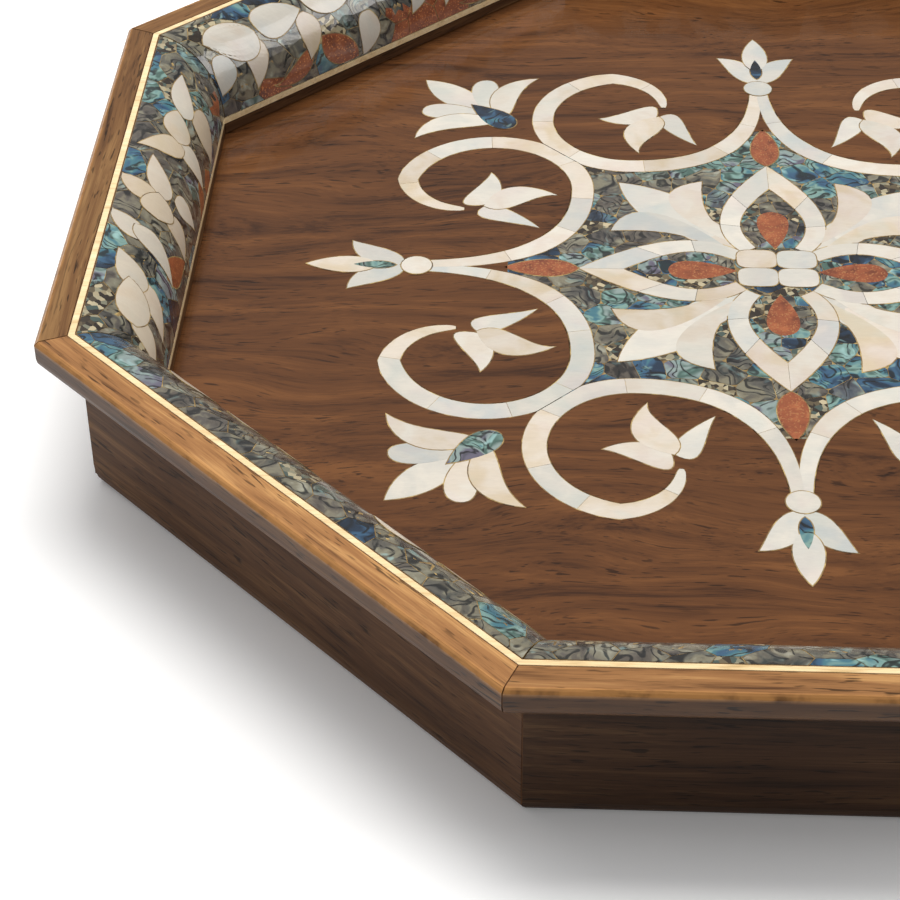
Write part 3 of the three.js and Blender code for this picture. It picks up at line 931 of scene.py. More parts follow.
SPRIG = [
    leaf(
        (-0.625, -0.24), (-0.685, -0.175), (-0.575, -0.183),
        (-0.506, -0.153), (-0.545, -0.205), (-0.6, -0.25),
    ),
    leaf(
        (-0.635, -0.24), (-0.73, -0.225), (-0.63, -0.315),
        (-0.617, -0.374), (-0.58, -0.33), (-0.585, -0.25),
    ),
    leaf(
        (-0.63, -0.236), (-0.575, -0.19), (-0.525, -0.295),
        (-0.468, -0.285), (-0.535, -0.335), (-0.605, -0.335),
    ),
]
LILY_WING = leaf(
    (-0.6, -0.598), (-0.66, -0.56), (-0.73, -0.58),
    (-0.797, -0.519), (-0.79, -0.61), (-0.7, -0.67),
)
LILY_LOBE = leaf(
    (-0.625, -0.625), (-0.72, -0.6), (-0.787, -0.605),
    (-0.786, -0.64), (-0.785, -0.685), (-0.7, -0.69),
)
LILY_TIP = leaf(
    (-0.63, -0.63), (-0.745, -0.655), (-0.775, -0.72),
    (-0.784, -0.784), (-0.72, -0.775), (-0.655, -0.745),
)
LILY_HEART = leaf(
    (-0.672, -0.672), (-0.64, -0.548), (-0.585, -0.56),
    (-0.573, -0.573), (-0.56, -0.585), (-0.548, -0.64),
)
FINIAL_WING = petal((-0.79, -0.004), (-0.907, -0.09), 0.03, 0.036, -0.022)
INNER_WING = leaf(
    (-0.1, -0.085), (-0.17, -0.09), (-0.17, -0.165),
    (-0.352, -0.147), (-0.315, -0.285), (-0.2, -0.22),
)


def rosette_curve(base_r, base_half, swell, shoulder, tip_r, steps=28):
    """One side of a rosette petal, from its base to its tip."""
    base, tip = (-base_r, base_half), (-tip_r, 0.0)
    return bezier(base, (-base_r - 0.075, swell), (-shoulder, 0.93 * swell), tip, steps)


ROSETTE_OUT = rosette_curve(0.07, 0.07, 0.141, 0.265, 0.421)
ROSETTE_IN = rosette_curve(0.09, 0.042, 0.088, 0.215, 0.326)
# The four lobes of the centre are set a little towards the back.
LOBE_X, LOBE_Y, CORE_SHIFT = 0.0425, 0.034, 0.012


def rosette_petal(side):
    """Closed outline of one rosette petal from one of its sides."""
    return side + [(x, -y) for x, y in side[:-1]][::-1]


def ground_outline():
    """Edge of the mosaic ground: along the middle of the scrolls to where two of them meet."""
    path = [p for p in scroll_path(2) if STEM_PART / 3 <= p[2] <= STEM_PART + SCROLL_PART * 45 / 170]
    half = [(x, y) for x, y, _ in path]
    quarter = half + [(y, x) for x, y in half][::-1]
    return [p for turn in range(4) for p in turned(quarter, turn)]


# ---------------------------------------------------------------- operators


def settings_of(context, name):
    return getattr(context.scene, name)


# Every group of pieces draws its random numbers from its own seed.
SEED_STEPS = {
    "ground": 1, "ground_tones": 2, "rosette": 3, "petal_chips": 20, "petal_tones": 30, "scrolls": 50,
    "finials": 70, "sprigs": 90, "corner_lilies": 110, "inner_lilies": 130,
}


def seed_of(settings, group, number=0):
    """The seed of one piece of a group."""
    return settings.seed * 7 + SEED_STEPS[group] + number


# How far the filler in the joints lies under the surface.
FILLER_DEPTH = 0.22 * MM
# Rails darker on some sides by these shares.
RAIL_SHADE = {"left": 0.48, "back_left": 0.55, "front": 0.86}
# Boards darker on some sides as painted shade, for sides turned away from the light.
BOARD_PAINTED_SHADE = {"front": 0.55, "right": 0.8}


def shaded(colours, shade):
    """The same colours, darker by a share."""
    return [[c * shade for c in colour[:3]] + [1.0] for colour in colours]


def corner_run(side, other, inset):
    """How far along a side its corner with a neighbour lies, this far in from the rail's outer face."""
    return (REACH[other] - inset) * math.sqrt(2) - (REACH[side] - inset)


def neighbours(side):
    """The sides before and after a side, counter-clockwise."""
    return (side - 1) % len(SIDES), (side + 1) % len(SIDES)


def corner_place(side, inset, z):
    """The corner at a side's counter-clockwise end."""
    out, along = side_axes(side)
    run = corner_run(side, neighbours(side)[1], inset)
    return out * (REACH[side] - inset) + along * run + Vector((0, 0, z))


class TRAY_OT_wood(bpy.types.Operator):
    """Finish the boards, rails, strings and floor panel, and ease their edges"""

    bl_idname = "tray.wood"
    bl_label = "Wood Parts"

    def ease(self, solid, width, segments=3):
        """Round the hard edges of a solid."""
        weld = solid.modifiers.new("Weld", "WELD")
        weld.merge_threshold = 0.01 * MM
        bevel = solid.modifiers.new("Arris", "BEVEL")
        bevel.width = width
        bevel.segments = segments
        bevel.limit_method = "ANGLE"
        bevel.angle_limit = math.radians(35)
        bevel.harden_normals = False

    def dress(self, name, material):
        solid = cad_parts[name]
        solid.data.materials.clear()
        solid.data.materials.append(material)
        return solid

    def execute(self, context):
        s = settings_of(context, "tray_wood")
        for side, name in enumerate(SIDES):
            # The grain runs along the side, with outwards as minus Y.
            turn = -side * SIDE_TURN - math.pi / 2
            tones = shaded((s.rail_dark, s.rail_mid, s.rail_light), RAIL_SHADE.get(name, 1.0))
            rail = wood_finish("rail_wood_" + name, turn, 1.3 + side * 2.1, *tones, figure=2.7, streak=15.0,
                               pores=1.0, roughness=0.42, coat=0.2, coat_roughness=0.2,
                               rim=(REACH[side] - 1.9 * MM, REACH[side] - 0.75 * MM))
            self.ease(self.dress("rim_rail_" + name, rail), 0.5 * s.arris)
            # Painted shade: some boards' colours are darkened according to their side.
            tones = shaded((s.wall_dark, s.wall_mid, s.wall_light), BOARD_PAINTED_SHADE.get(name, 1.0))
            board = wood_finish("wall_wood_" + name, turn, 4.7 + side * 1.7, *tones, figure=3.4, streak=18.0,
                                pores=0.9, roughness=0.55, coat=0.0)
            self.ease(self.dress("wall_board_" + name, board), s.arris)
        pale = [c * k for c, k in zip(s.string_mid, (0.72, 0.66, 0.55, 1))]
        string = wood_finish("string_wood", 0.0, 9.0, pale, s.string_mid, screen(248, 228, 186), figure=1.6,
                             streak=9.0, pores=0.25, roughness=0.35, coat=0.4, coat_roughness=0.12)
        for name in ("upper_string", "lower_string"):
            self.ease(self.dress(name, string), 0.15 * MM, 2)
        floor = wood_finish("floor_wood", -s.floor_turn, 2.6, s.floor_dark, s.floor_mid, s.floor_light,
                            figure=4.6, streak=13.0, pores=0.9, wander=0.05, roughness=0.36,
                            coat=s.lacquer, coat_roughness=0.08)
        self.dress("floor_panel", floor)
        filler = wood_finish("joint_filler", 0.0, 3.0, s.wall_dark, s.rail_dark, s.rail_dark, pores=0.2,
                             roughness=0.6, coat=0.0)
        self.fill_joints(filler)
        return {"FINISHED"}

    def rail_filler(self):
        """Outline of the rail's filler as (inset, height): the rail's own, a little smaller."""
        inner = MOULD_INSET - STRING - 2 * GLUE
        head, foot = TOP - FILLER_DEPTH, RAIL_BOTTOM + FILLER_DEPTH
        chamfer, round_off, middle = 1.1 * MM, 3.1 * MM, 1.3 * MM
        return [
            (FILLER_DEPTH + chamfer, head),
            (inner, head),
            (inner, foot),
            (round_off, foot),
            (middle, RAIL_BOTTOM + middle),
            (FILLER_DEPTH, RAIL_BOTTOM + round_off),
            (FILLER_DEPTH, head - chamfer),
        ]

    def board_filler(self):
        """Outline of the board's filler as (inset, height), clear of its eased foot."""
        outer, inner = LIP + FILLER_DEPTH, LIP + 4 * MM
        foot, head = 3 * MM, RAIL_BOTTOM - 0.5 * MM
        return [(outer, foot), (outer, head), (inner, head), (inner, foot)]

    def fill_joints(self, material):
        """Filler in the mitres and beside the upper string, just under the surface."""
        plates = Plates(3)
        for side in range(len(SIDES)):
            run = corner_place(side, MOULD_INSET, 0) - corner_place(side, 0, 0)
            across = run.cross(Vector((0, 0, 1))).normalized() * (GLUE / 2 - 0.01 * MM)
            for profile in (self.rail_filler(), self.board_filler()):
                rings = (
                    [tuple(corner_place(side, inset, z) + across * hand) for inset, z in profile]
                    for hand in (-1, 1)
                )
                plates.block(*rings, PEARL, 0.5, 0.0)
            before = neighbours(side)[0]
            for first in (MOULD_INSET - STRING - GLUE, MOULD_INSET):
                ends = (before, first), (side, first), (side, first + GLUE), (before, first + GLUE)
                ring = [tuple(corner_place(end, inset, 0).xy) for end, inset in ends]
                plates.prism(ring, TOP - 1.2 * MM, TOP - FILLER_DEPTH, PEARL)
        filler = plates.piece("joint_filler")
        filler.data.materials.clear()
        filler.data.materials.append(material)


def chip_sheet_tree(material):
    """Node tree of a sheet of irregular chips: a jittered net turned into its dual, parted and raised."""
    tree = bpy.data.node_groups.new("chip_sheet", "GeometryNodeTree")
    tree.interface.new_socket("Geometry", in_out="INPUT", socket_type="NodeSocketGeometry")
    for name, kind, default in (
        ("Length", "NodeSocketFloat", 0.15),
        ("Width", "NodeSocketFloat", 0.034),
        ("Chip", "NodeSocketFloat", 0.009),
        ("Jitter", "NodeSocketFloat", 0.4),
        ("Joint", "NodeSocketFloat", 0.0003),
        ("Thickness", "NodeSocketFloat", 0.0006),
        ("Seed", "NodeSocketInt", 1),
    ):
        tree.interface.new_socket(name, in_out="INPUT", socket_type=kind).default_value = default
    tree.interface.new_socket("Geometry", in_out="OUTPUT", socket_type="NodeSocketGeometry")
    n = Nodes(tree)
    i = n.new("NodeGroupInput").outputs
    out = n.new("NodeGroupOutput").inputs

    def count(size):
        return n.add(n.math("ROUND", n.math("DIVIDE", size, i["Chip"])), 1.0)

    grid = n.new("GeometryNodeMeshGrid")
    n.feed(grid.inputs["Size X"], i["Length"])
    n.feed(grid.inputs["Size Y"], i["Width"])
    n.feed(grid.inputs["Vertices X"], count(i["Length"]))
    n.feed(grid.inputs["Vertices Y"], count(i["Width"]))
    # Points on the rim stay on it, so the sheet keeps its outline.
    position = n.new("GeometryNodeInputPosition").outputs[0]
    parts = n.new("ShaderNodeSeparateXYZ")
    n.feed(parts.inputs[0], position)
    half_x = n.sub(n.mul(i["Length"], 0.5), n.mul(i["Chip"], 0.25))
    half_y = n.sub(n.mul(i["Width"], 0.5), n.mul(i["Chip"], 0.25))
    free_x = n.math("LESS_THAN", n.math("ABSOLUTE", parts.outputs[0]), half_x)
    free_y = n.math("LESS_THAN", n.math("ABSOLUTE", parts.outputs[1]), half_y)
    reach = n.mul(i["Chip"], i["Jitter"])
    wobble = n.new("FunctionNodeRandomValue", data_type="FLOAT_VECTOR")
    wobble.inputs[0].default_value = (-1, -1, 0)
    wobble.inputs[1].default_value = (1, 1, 0)
    n.feed(wobble.inputs["Seed"], i["Seed"])
    freedom = n.xyz(n.mul(reach, free_x), n.mul(reach, free_y), 0.0)
    shift = n.vec("MULTIPLY", wobble.outputs[0], freedom)
    moved = n.new("GeometryNodeSetPosition")
    n.feed(moved.inputs["Geometry"], grid.outputs["Mesh"])
    n.feed(moved.inputs["Offset"], shift)
    cut = n.new("GeometryNodeTriangulate")
    n.feed(cut.inputs[0], moved.outputs[0])
    dual = n.new("GeometryNodeDualMesh")
    n.feed(dual.inputs["Mesh"], cut.outputs[0])
    dual.inputs["Keep Boundaries"].default_value = True
    parted = n.new("GeometryNodeSplitEdges")
    n.feed(parted.inputs["Mesh"], dual.outputs[0])
    small = n.new("GeometryNodeScaleElements", domain="FACE")
    n.feed(small.inputs["Geometry"], parted.outputs[0])
    n.feed(small.inputs["Scale"], n.sub(1.0, n.math("DIVIDE", i["Joint"], i["Chip"])))
    pick = n.new("FunctionNodeRandomValue", data_type="FLOAT")
    n.feed(pick.inputs["Seed"], n.add(i["Seed"], 7.0))
    index = n.new("GeometryNodeInputIndex").outputs[0]
    n.feed(pick.inputs["ID"], index)
    stored = n.new("GeometryNodeStoreNamedAttribute", data_type="FLOAT", domain="FACE")
    n.feed(stored.inputs["Geometry"], small.outputs[0])
    stored.inputs["Name"].default_value = "tone"
    n.feed(stored.inputs["Value"], pick.outputs[1])
    fine = n.new("GeometryNodeSubdivideMesh")
    n.feed(fine.inputs["Mesh"], stored.outputs[0])
    fine.inputs["Level"].default_value = 2
    raised = n.new("GeometryNodeExtrudeMesh", mode="FACES")
    n.feed(raised.inputs["Mesh"], fine.outputs[0])
    n.feed(raised.inputs["Offset Scale"], i["Thickness"])
    raised.inputs["Individual"].default_value = False
    under = n.new("GeometryNodeFlipFaces")
    n.feed(under.inputs["Mesh"], fine.outputs[0])
    both = n.new("GeometryNodeJoinGeometry")
    n.links.new(under.outputs[0], both.inputs[0])
    n.links.new(raised.outputs["Mesh"], both.inputs[0])
    closed = n.new("GeometryNodeMergeByDistance")
    n.feed(closed.inputs["Geometry"], both.outputs[0])
    closed.inputs["Distance"].default_value = 0.002 * MM
    plain = n.new("GeometryNodeRealizeInstances")
    n.feed(plain.inputs["Geometry"], closed.outputs[0])
    dressed = n.new("GeometryNodeSetMaterial")
    n.feed(dressed.inputs["Geometry"], plain.outputs[0])
    dressed.inputs["Material"].default_value = material
    n.feed(out["Geometry"], dressed.outputs[0])
    return tree


def run_nodes(tree, name, values):
    """The plain mesh that a node tree gives for these named inputs."""
    carrier = bpy.data.objects.new(name + "_carrier", bpy.data.meshes.new(name + "_carrier"))
    bpy.context.scene.collection.objects.link(carrier)
    modifier = carrier.modifiers.new("Nodes", "NODES")
    modifier.node_group = tree
    inputs = (s for s in tree.interface.items_tree if s.item_type == "SOCKET" and s.in_out == "INPUT")
    sockets = {s.name: s.identifier for s in inputs}
    for key, value in values.items():
        modifier[sockets[key]] = value
    graph = bpy.context.evaluated_depsgraph_get()
    mesh = bpy.data.meshes.new_from_object(
        carrier.evaluated_get(graph), preserve_all_data_layers=True, depsgraph=graph
    )
    bpy.data.objects.remove(carrier)
    if not mesh.polygons:
        raise RuntimeError(name + " came out empty")
    return mesh


# Sprays of leaves on a wall, in mm from a spray's own middle. The first number runs along the wall, the
# second down the moulding. Each leaf is (outline, finish).
SPRAYS = {
    "lily": [
        (blade((27, 10), (7.5, 15.5), 5, 5.4), COPPER),
        (blade((-9, 5), (-12.5, 16.2), 6.2, 5), PEARL),
        (blade((-1, 4), (8, 15.2), 6, 5.6), PEARL),
        (blade((-5, 1.5), (-23.5, -5.7), 5.2, 5.8), PEARL),
        (blade((-1, -1), (-10, -13.8), 5.4, 5.2), PEARL),
        (blade((20, 0), (7.8, -13.8), 5.2, 4.2), PEARL),
        (blade((14, -5), (27, 12.4), 5.4, 5.2), PEARL),
        (petal((6, 1.4), (-6.2, -0.8), 6.4, 6.4), PEARL),
    ],
    "tulip": [
        (blade((10.5, 13.5), (23, 20.4), 4, 3.2), COPPER),
        (leaf((-9, 5), (-25, 3), (-24, 15), (-7.4, 18), (-8, 13), (-3, 11)), PEARL),
        (blade((-6.5, 1.5), (-27.6, -2.1), 5.4, 6.0), PEARL),
        (blade((8, 1.6), (11.2, 15.8), 6.4, 6.0), PEARL),
        (blade((9, 4), (18.4, -11), 5.8, 5.8), PEARL),
        (petal((8, 1.4), (-7.2, -1.2), 5.6, 5.4), PEARL),
    ],
    "drop": [
        (blade((5.8, 2), (18.6, 13), 5.0, 5.4), PEARL),
        (blade((-11, 0.5), (4.6, 13.6), 5.4, 5.6), PEARL),
        (blade((-6, 2), (-22, -8), 6.0, 5.4), PEARL),
        (petal((10, 2.8), (-9.8, -3), 5.8, 6.2), PEARL),
    ],
    "swallow": [
        (leaf((-24, 9), (-34, 9), (-40, 16), (-37, 20), (-27, 20), (-20, 16)), COPPER),
        (leaf((-19, 10.5), (-10, 12), (-3, 20), (1, 17), (-6, 20.5), (-18, 20.5)), COPPER),
        (blade((-46, 7), (-40, 19.6), 6.4, 5.8), PEARL),
        (blade((-21.7, 0), (-17, 14.2), 6.0, 5.4), PEARL),
        (blade((1.6, 0), (7, 16.2), 6.2, 6.0), PEARL),
        (blade((14, 3.5), (22.5, 14.4), 5.4, 5.6), PEARL),
        (leaf((-21, -1.2), (-16, -10), (-3, -9), (-2.6, -2), (-2, 8), (-13, 5)), PEARL),
        (leaf((17.5, -2), (12, -10), (1, -8), (-1, 0), (-1, 10), (12, 11)), PEARL),
        (leaf((-44, -2), (-40, -12), (-26, -11), (-23.6, -4), (-24, 5), (-36, 6)), PEARL),
    ],
}
# Which sprays each wall carries, from behind to ahead, and how far along its upper edge, as a share.
WALL_SPRAYS = {
    "left": (("tulip", 0.278), ("lily", 0.571), ("drop", 0.885)),
    "back_left": (("swallow", 0.33), ("swallow", 0.86)),
}
USUAL_SPRAYS = (("tulip", 0.24), ("drop", 0.52), ("lily", 0.78))
OTHER_SPRAYS = (("swallow", 0.36), ("swallow", 0.88))
# How far down the moulding the middle of a spray sits; on two walls it is set low.
SPRAY_LEVEL, LOW_LEVEL = 0.4, 0.66
LOW_WALLS = ("front_left", "front")
# A leaf is a net of this many columns; a leaf cut narrower than the least width at a corner is left out.
LEAF_COLUMNS, LEAST_LEAF = 8, 3 * MM
# How deep the chips and the leaves are set into their bed.
CHIP_DEPTH, LEAF_DEPTH = 0.3 * MM, 0.35 * MM
# Chips below this share of the moulding may be copper glass, one in so many.
COPPER_FROM, COPPER_SHARE = 0.72, 0.06


def moulding_length():
    """Length of the moulding's curve from string to string."""
    a, b = MOULD_RUN, MOULD_RISE
    return math.pi / 4 * (3 * (a + b) - math.sqrt((3 * a + b) * (a + 3 * b)))


class Wall:
    """Turns (along, down, height) on one side's moulding into a place in the tray."""

    def __init__(self, side):
        self.side = side
        self.out, self.along = side_axes(side)
        self.before, self.after = neighbours(side)
        self.down = moulding_length()
        self.top_ahead = corner_run(side, self.after, MOULD_INSET)
        self.top_behind = corner_run(side, self.before, MOULD_INSET)
        self.long = self.top_ahead + self.top_behind
        self.middle = (self.top_ahead - self.top_behind) / 2

    def place(self, along, down, height):
        """along runs from minus to plus half of the upper edge, down from 0 at the upper string."""
        turn = math.pi / 2 * (1 - down / self.down)
        inset = MOULD_INSET + (MOULD_RUN + height) * math.cos(turn)
        z = MOULD_FOOT + (MOULD_RISE + height) * math.sin(turn)
        share_along = (along - self.middle) / (self.long / 2)
        room = GLUE / 2 / math.cos(SIDE_TURN / 2)
        ahead = corner_run(self.side, self.after, inset) - room
        behind = corner_run(self.side, self.before, inset) - room
        s = (ahead - behind) / 2 + share_along * (ahead + behind) / 2
        return self.out * (REACH[self.side] - inset) + self.along * s + Vector((0, 0, z))


class TRAY_OT_wall_mosaic(bpy.types.Operator):
    """Lay the chips and leaf sprays on the eight mouldings"""

    bl_idname = "tray.wall_mosaic"
    bl_label = "Wall Mosaic"

    def leaf_grid(self, plates, wall, outline, height, slot, warmth):
        """A leaf bent onto the moulding: a net between its two sides, closed below."""
        tone = plates.rng.random()
        half = len(outline) // 2
        left = outline[: half + 1]
        right = [outline[0]] + outline[half + 1 :][::-1] + [outline[half]]
        last = LEAF_COLUMNS
        top, low = [], []
        for a, b in zip(left, right):
            line = [tuple(p + (q - p) * c / last for p, q in zip(a, b)) for c in range(last + 1)]
            for store, level in ((top, height), (low, -LEAF_DEPTH)):
                row = []
                for along, down in line:
                    row.append(len(plates.verts))
                    plates.verts.append(tuple(wall.place(along, down, level)))
                store.append(row)
        faces = []
        for up, up_next, under, under_next in zip(top, top[1:], low, low[1:]):
            for c in range(last):
                faces.append([up[c], up[c + 1], up_next[c + 1], up_next[c]])
                faces.append([under[c], under_next[c], under_next[c + 1], under[c + 1]])
            faces.append([up[0], up_next[0], under_next[0], under[0]])
            faces.append([up[last], under[last], under_next[last], up_next[last]])
        for face in faces:
            plates.add_face(face, slot, tone, warmth)

    def spray(self, plates, wall, kind, along, rng, s, bright):
        """One spray of leaves laid over the chips."""
        swing = math.radians(rng.uniform(-2.5, 2.5))
        # Leaves stop short of the strings and of the mitres.
        low, high = 0.7 * MM, wall.down - 0.5 * MM
        ends = -wall.top_behind + 0.8 * MM, wall.top_ahead - 0.8 * MM
        middle = wall.down * (LOW_LEVEL if SIDES[wall.side] in LOW_WALLS else SPRAY_LEVEL)

        def held(points):
            return [(min(ends[1], max(ends[0], x)), min(high, max(low, y))) for x, y in points]

        cos, sin = math.cos(swing), math.sin(swing)
        for layer, (outline, slot) in enumerate(SPRAYS[kind], 1):
            flat = [
                (along + (x * cos - y * sin) * MM, middle + (x * sin + y * cos) * MM) for x, y in outline
            ]
            placed = held(flat)
            if max(x for x, _ in placed) - min(x for x, _ in placed) < LEAST_LEAF:
                continue
            top = s.proud + layer * LAYER_STEP
            # Leaves on the back walls are whiter: partly the shell's own cast, partly a painted reflection.
            warmth = rng.uniform(0.0, 0.25) if bright else rng.uniform(0.25, 0.75)
            self.leaf_grid(plates, wall, held(grown(flat, GLUE)), top - LEAF_SKIRT_DROP, GLUE_SLOT, 0.0)
            self.leaf_grid(plates, wall, placed, top, slot, warmth)

    def execute(self, context):
        s = settings_of(context, "tray_mosaic")
        materials = shell_materials()
        tree = chip_sheet_tree(materials[ABALONE])
        for side, name in enumerate(SIDES):
            wall = Wall(side)
            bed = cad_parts["wall_mosaic_" + name]
            bed.data.materials.clear()
            bed.data.materials.append(materials[GLUE_SLOT])
            rng = random.Random(s.seed * 31 + side)
            plates = Plates(s.seed * 17 + side)
            sheet = run_nodes(tree, "chips_" + name, {
                "Length": wall.long,
                "Width": wall.down,
                "Chip": s.chip,
                "Jitter": s.jitter,
                "Joint": s.joint,
                "Thickness": CHIP_DEPTH + s.proud,
                "Seed": s.seed + side * 13,
            })
            tones = [0.0] * len(sheet.polygons)
            sheet.attributes["tone"].data.foreach_get("value", tones)
            first = len(plates.verts)
            for v in sheet.vertices:
                # Just inside the strings, so that no chip runs under them.
                down = min(max(wall.down / 2 - v.co.y, 0.45 * MM), wall.down - 0.1 * MM)
                plates.verts.append(tuple(wall.place(wall.middle + v.co.x, down, v.co.z - CHIP_DEPTH)))
            for polygon, tone in zip(sheet.polygons, tones):
                centre_down = wall.down / 2 - polygon.center.y
                copper = centre_down > wall.down * COPPER_FROM and (tone * 37) % 1 < COPPER_SHARE
                slot = COPPER if copper else ABALONE
                plates.add_face([first + k for k in polygon.vertices], slot, tone, 0.7)
            bpy.data.meshes.remove(sheet)
            usual = USUAL_SPRAYS if side % 2 == 0 else OTHER_SPRAYS
            for kind, place in WALL_SPRAYS.get(name, usual):
                along = wall.long * place - wall.top_behind
                # Back walls get whiter leaves, partly as a painted reflection.
                self.spray(plates, wall, kind, along, rng, s, name.startswith("back"))
            plates.piece("wall_tiles_" + name)
        return {"FINISHED"}


# Chips inside the petals are this share of the others. A chip is cut by its neighbours within this reach.
PETAL_CHIP, CELL_REACH = 0.62, 2.3


class TRAY_OT_ground(bpy.types.Operator):
    """Lay the mosaic ground between the scrolls, with its copper lozenges"""

    bl_idname = "tray.ground"
    bl_label = "Mosaic Ground"

    def execute(self, context):
        s = settings_of(context, "tray_inlay")
        rng = random.Random(seed_of(s, "ground"))
        plates = Plates(seed_of(s, "ground_tones"))
        region = facing_up(ground_outline())
        real = sized(region)
        bottom = FLOOR - s.thickness
        plates.prism(real, bottom, FLOOR - 0.12 * MM, GLUE_SLOT)
        seeds = scattered(0.66 * RADIUS, s.ground_chip, rng)
        petals = [sized(turned(rosette_petal(ROSETTE_OUT), turn)) for turn in range(4)]
        for part in cells(real, seeds, CELL_REACH * s.ground_chip):
            # A chip wholly under the rosette would never be cut.
            if any(all(inside(outline, corner) for corner in part) for outline in petals):
                continue
            chip = eased(grown(part, -0.09 * MM), 0.12)
            plates.prism(chip, bottom, FLOOR - 0.06 * MM, ABALONE, warmth=0.4)
        lozenge = leaf(
            (-0.42, 0.0), (-0.455, 0.05), (-0.53, 0.034),
            (-0.58, 0.0), (-0.53, -0.034), (-0.455, -0.05),
        )
        for turn in range(4):
            plates.shape(turned(lozenge, turn), s, 0, COPPER)
        plates.piece("ground_tiles", ["mosaic_ground"])
        return {"FINISHED"}


class TRAY_OT_rosette(bpy.types.Operator):
    """Build the rosette's pearl bands, its centre, and the tiles and copper drops inside its petals"""

    bl_idname = "tray.rosette"
    bl_label = "Rosette"

    def execute(self, context):
        s = settings_of(context, "tray_inlay")
        plates = Plates(seed_of(s, "rosette"))
        cuts = [0, 11, 20, 28]
        for turn in range(4):
            for mirror in (False, True):
                for first, last in zip(cuts, cuts[1:]):
                    part = ROSETTE_OUT[first : last + 1] + ROSETTE_IN[first : last + 1][::-1]
                    part = over_axis(part) if mirror else part
                    plates.shape(turned(part, turn), s, 2 + (turn % 2) * 0.5 + mirror * 0.2)
        for turn in range(4):
            x, y = turned([(-1, -1)], turn)[0]
            lobe = cushion((x * LOBE_X, CORE_SHIFT + y * LOBE_Y), LOBE_X, LOBE_Y)
            plates.shape(lobe, s, 4 + turn * 0.3)
        plates.piece("rosette_bands", ["rosette"])

        for turn, arm in enumerate(ARMS):
            rng = random.Random(seed_of(s, "petal_chips", turn))
            plates = Plates(seed_of(s, "petal_tones", turn))
            # The tiles run under the band's inner edge by half a glue line.
            outline = rosette_petal(ROSETTE_IN)
            real = facing_up(sized(turned(outline, turn)))
            bottom = FLOOR - s.thickness
            plates.prism(grown(real, 0.02 * MM), bottom, FLOOR - 0.04 * MM, GLUE_SLOT)
            chip = s.ground_chip * PETAL_CHIP
            seeds = scattered(0.45 * RADIUS, chip, rng)
            for part in cells(real, seeds, CELL_REACH * chip):
                plates.prism(eased(grown(part, -0.08 * MM), 0.12), bottom, FLOOR, ABALONE, warmth=0.5)
            drop = leaf(
                (-0.085, 0.0), (-0.14, 0.036), (-0.225, 0.056),
                (-0.232, 0.0), (-0.225, -0.056), (-0.14, -0.036),
            )
            plates.shape(turned(drop, turn), s, 1.0, COPPER)
            plates.piece("petal_tiles_" + arm, ["petal_fill_" + arm])
        return {"FINISHED"}


class TRAY_OT_scrolls(bpy.types.Operator):
    """Build the pearl bands of the eight scrolls, segment by segment"""

    bl_idname = "tray.scrolls"
    bl_label = "Scrolls"

    def execute(self, context):
        s = settings_of(context, "tray_inlay")
        path = scroll_path()
        lengths = [0.0]
        for a, b in zip(path, path[1:]):
            lengths.append(lengths[-1] + math.hypot(b[0] - a[0], b[1] - a[1]) * RADIUS)
        for turn, arm in enumerate(ARMS):
            plates = Plates(seed_of(s, "scrolls", turn))
            for mirror in (False, True):
                # Joints fall where the shell ran out, so no two scrolls are divided alike.
                marks = [0]
                while lengths[-1] - lengths[marks[-1]] > 1.35 * s.segment:
                    goal = lengths[marks[-1]] + s.segment * plates.rng.uniform(0.75, 1.3)
                    marks.append(min(range(len(lengths)), key=lambda k: abs(lengths[k] - goal)))
                marks.append(len(path) - 1)
                layer = 1.4 if mirror else 1.0
                for first, last in zip(marks, marks[1:]):
                    skirt = band_piece(path, first, last, SKIRT / RADIUS)
                    body = band_piece(path, first, last, 0.0)
                    # Each end steps back from the joint.
                    ease = s.joint / 2 / RADIUS
                    count = last - first + 1
                    ends = (0, 1), (count - 1, count - 2), (count, count + 1), (2 * count - 1, 2 * count - 2)
                    for near, far in ends:
                        a, b = body[near], body[far]
                        size = math.hypot(b[0] - a[0], b[1] - a[1]) or 1.0
                        body[near] = (a[0] + (b[0] - a[0]) / size * ease, a[1] + (b[1] - a[1]) / size * ease)
                    for outline, top, slot in ((skirt, -SKIRT_DROP, GLUE_SLOT), (body, 0.0, PEARL)):
                        outline = over_axis(outline) if mirror else outline
                        real = sized(turned(outline, turn))
                        plates.prism(real, FLOOR - s.thickness, FLOOR + layer * LAYER_STEP + top, slot)
            plates.piece("scroll_band_" + arm, ["scroll_" + arm])
        return {"FINISHED"}


class TRAY_OT_finials(bpy.types.Operator):
    """Build the four finials with their abalone hearts"""

    bl_idname = "tray.finials"
    bl_label = "Finials"

    def execute(self, context):
        s = settings_of(context, "tray_inlay")
        for turn, arm in enumerate(ARMS):
            plates = Plates(seed_of(s, "finials", turn))
            parts = [
                (petal((-0.775, 0), (-0.93, 0), 0.034, 0.034), PEARL),
                (FINIAL_WING, PEARL),
                (over_axis(FINIAL_WING), PEARL),
                (petal((-0.845, 0), (-1, 0), 0.033, 0.033), PEARL),
                (petal((-0.808, 0), (-0.9, 0), 0.015, 0.015), ABALONE),
                (disc((-BEAD_R, 0), BEAD_RADIUS), PEARL),
            ]
            for layer, (outline, slot) in enumerate(parts):
                plates.shape(turned(outline, turn), s, 3 + layer, slot)
            plates.piece("finial_flower_" + arm, ["finial_" + arm])
        return {"FINISHED"}


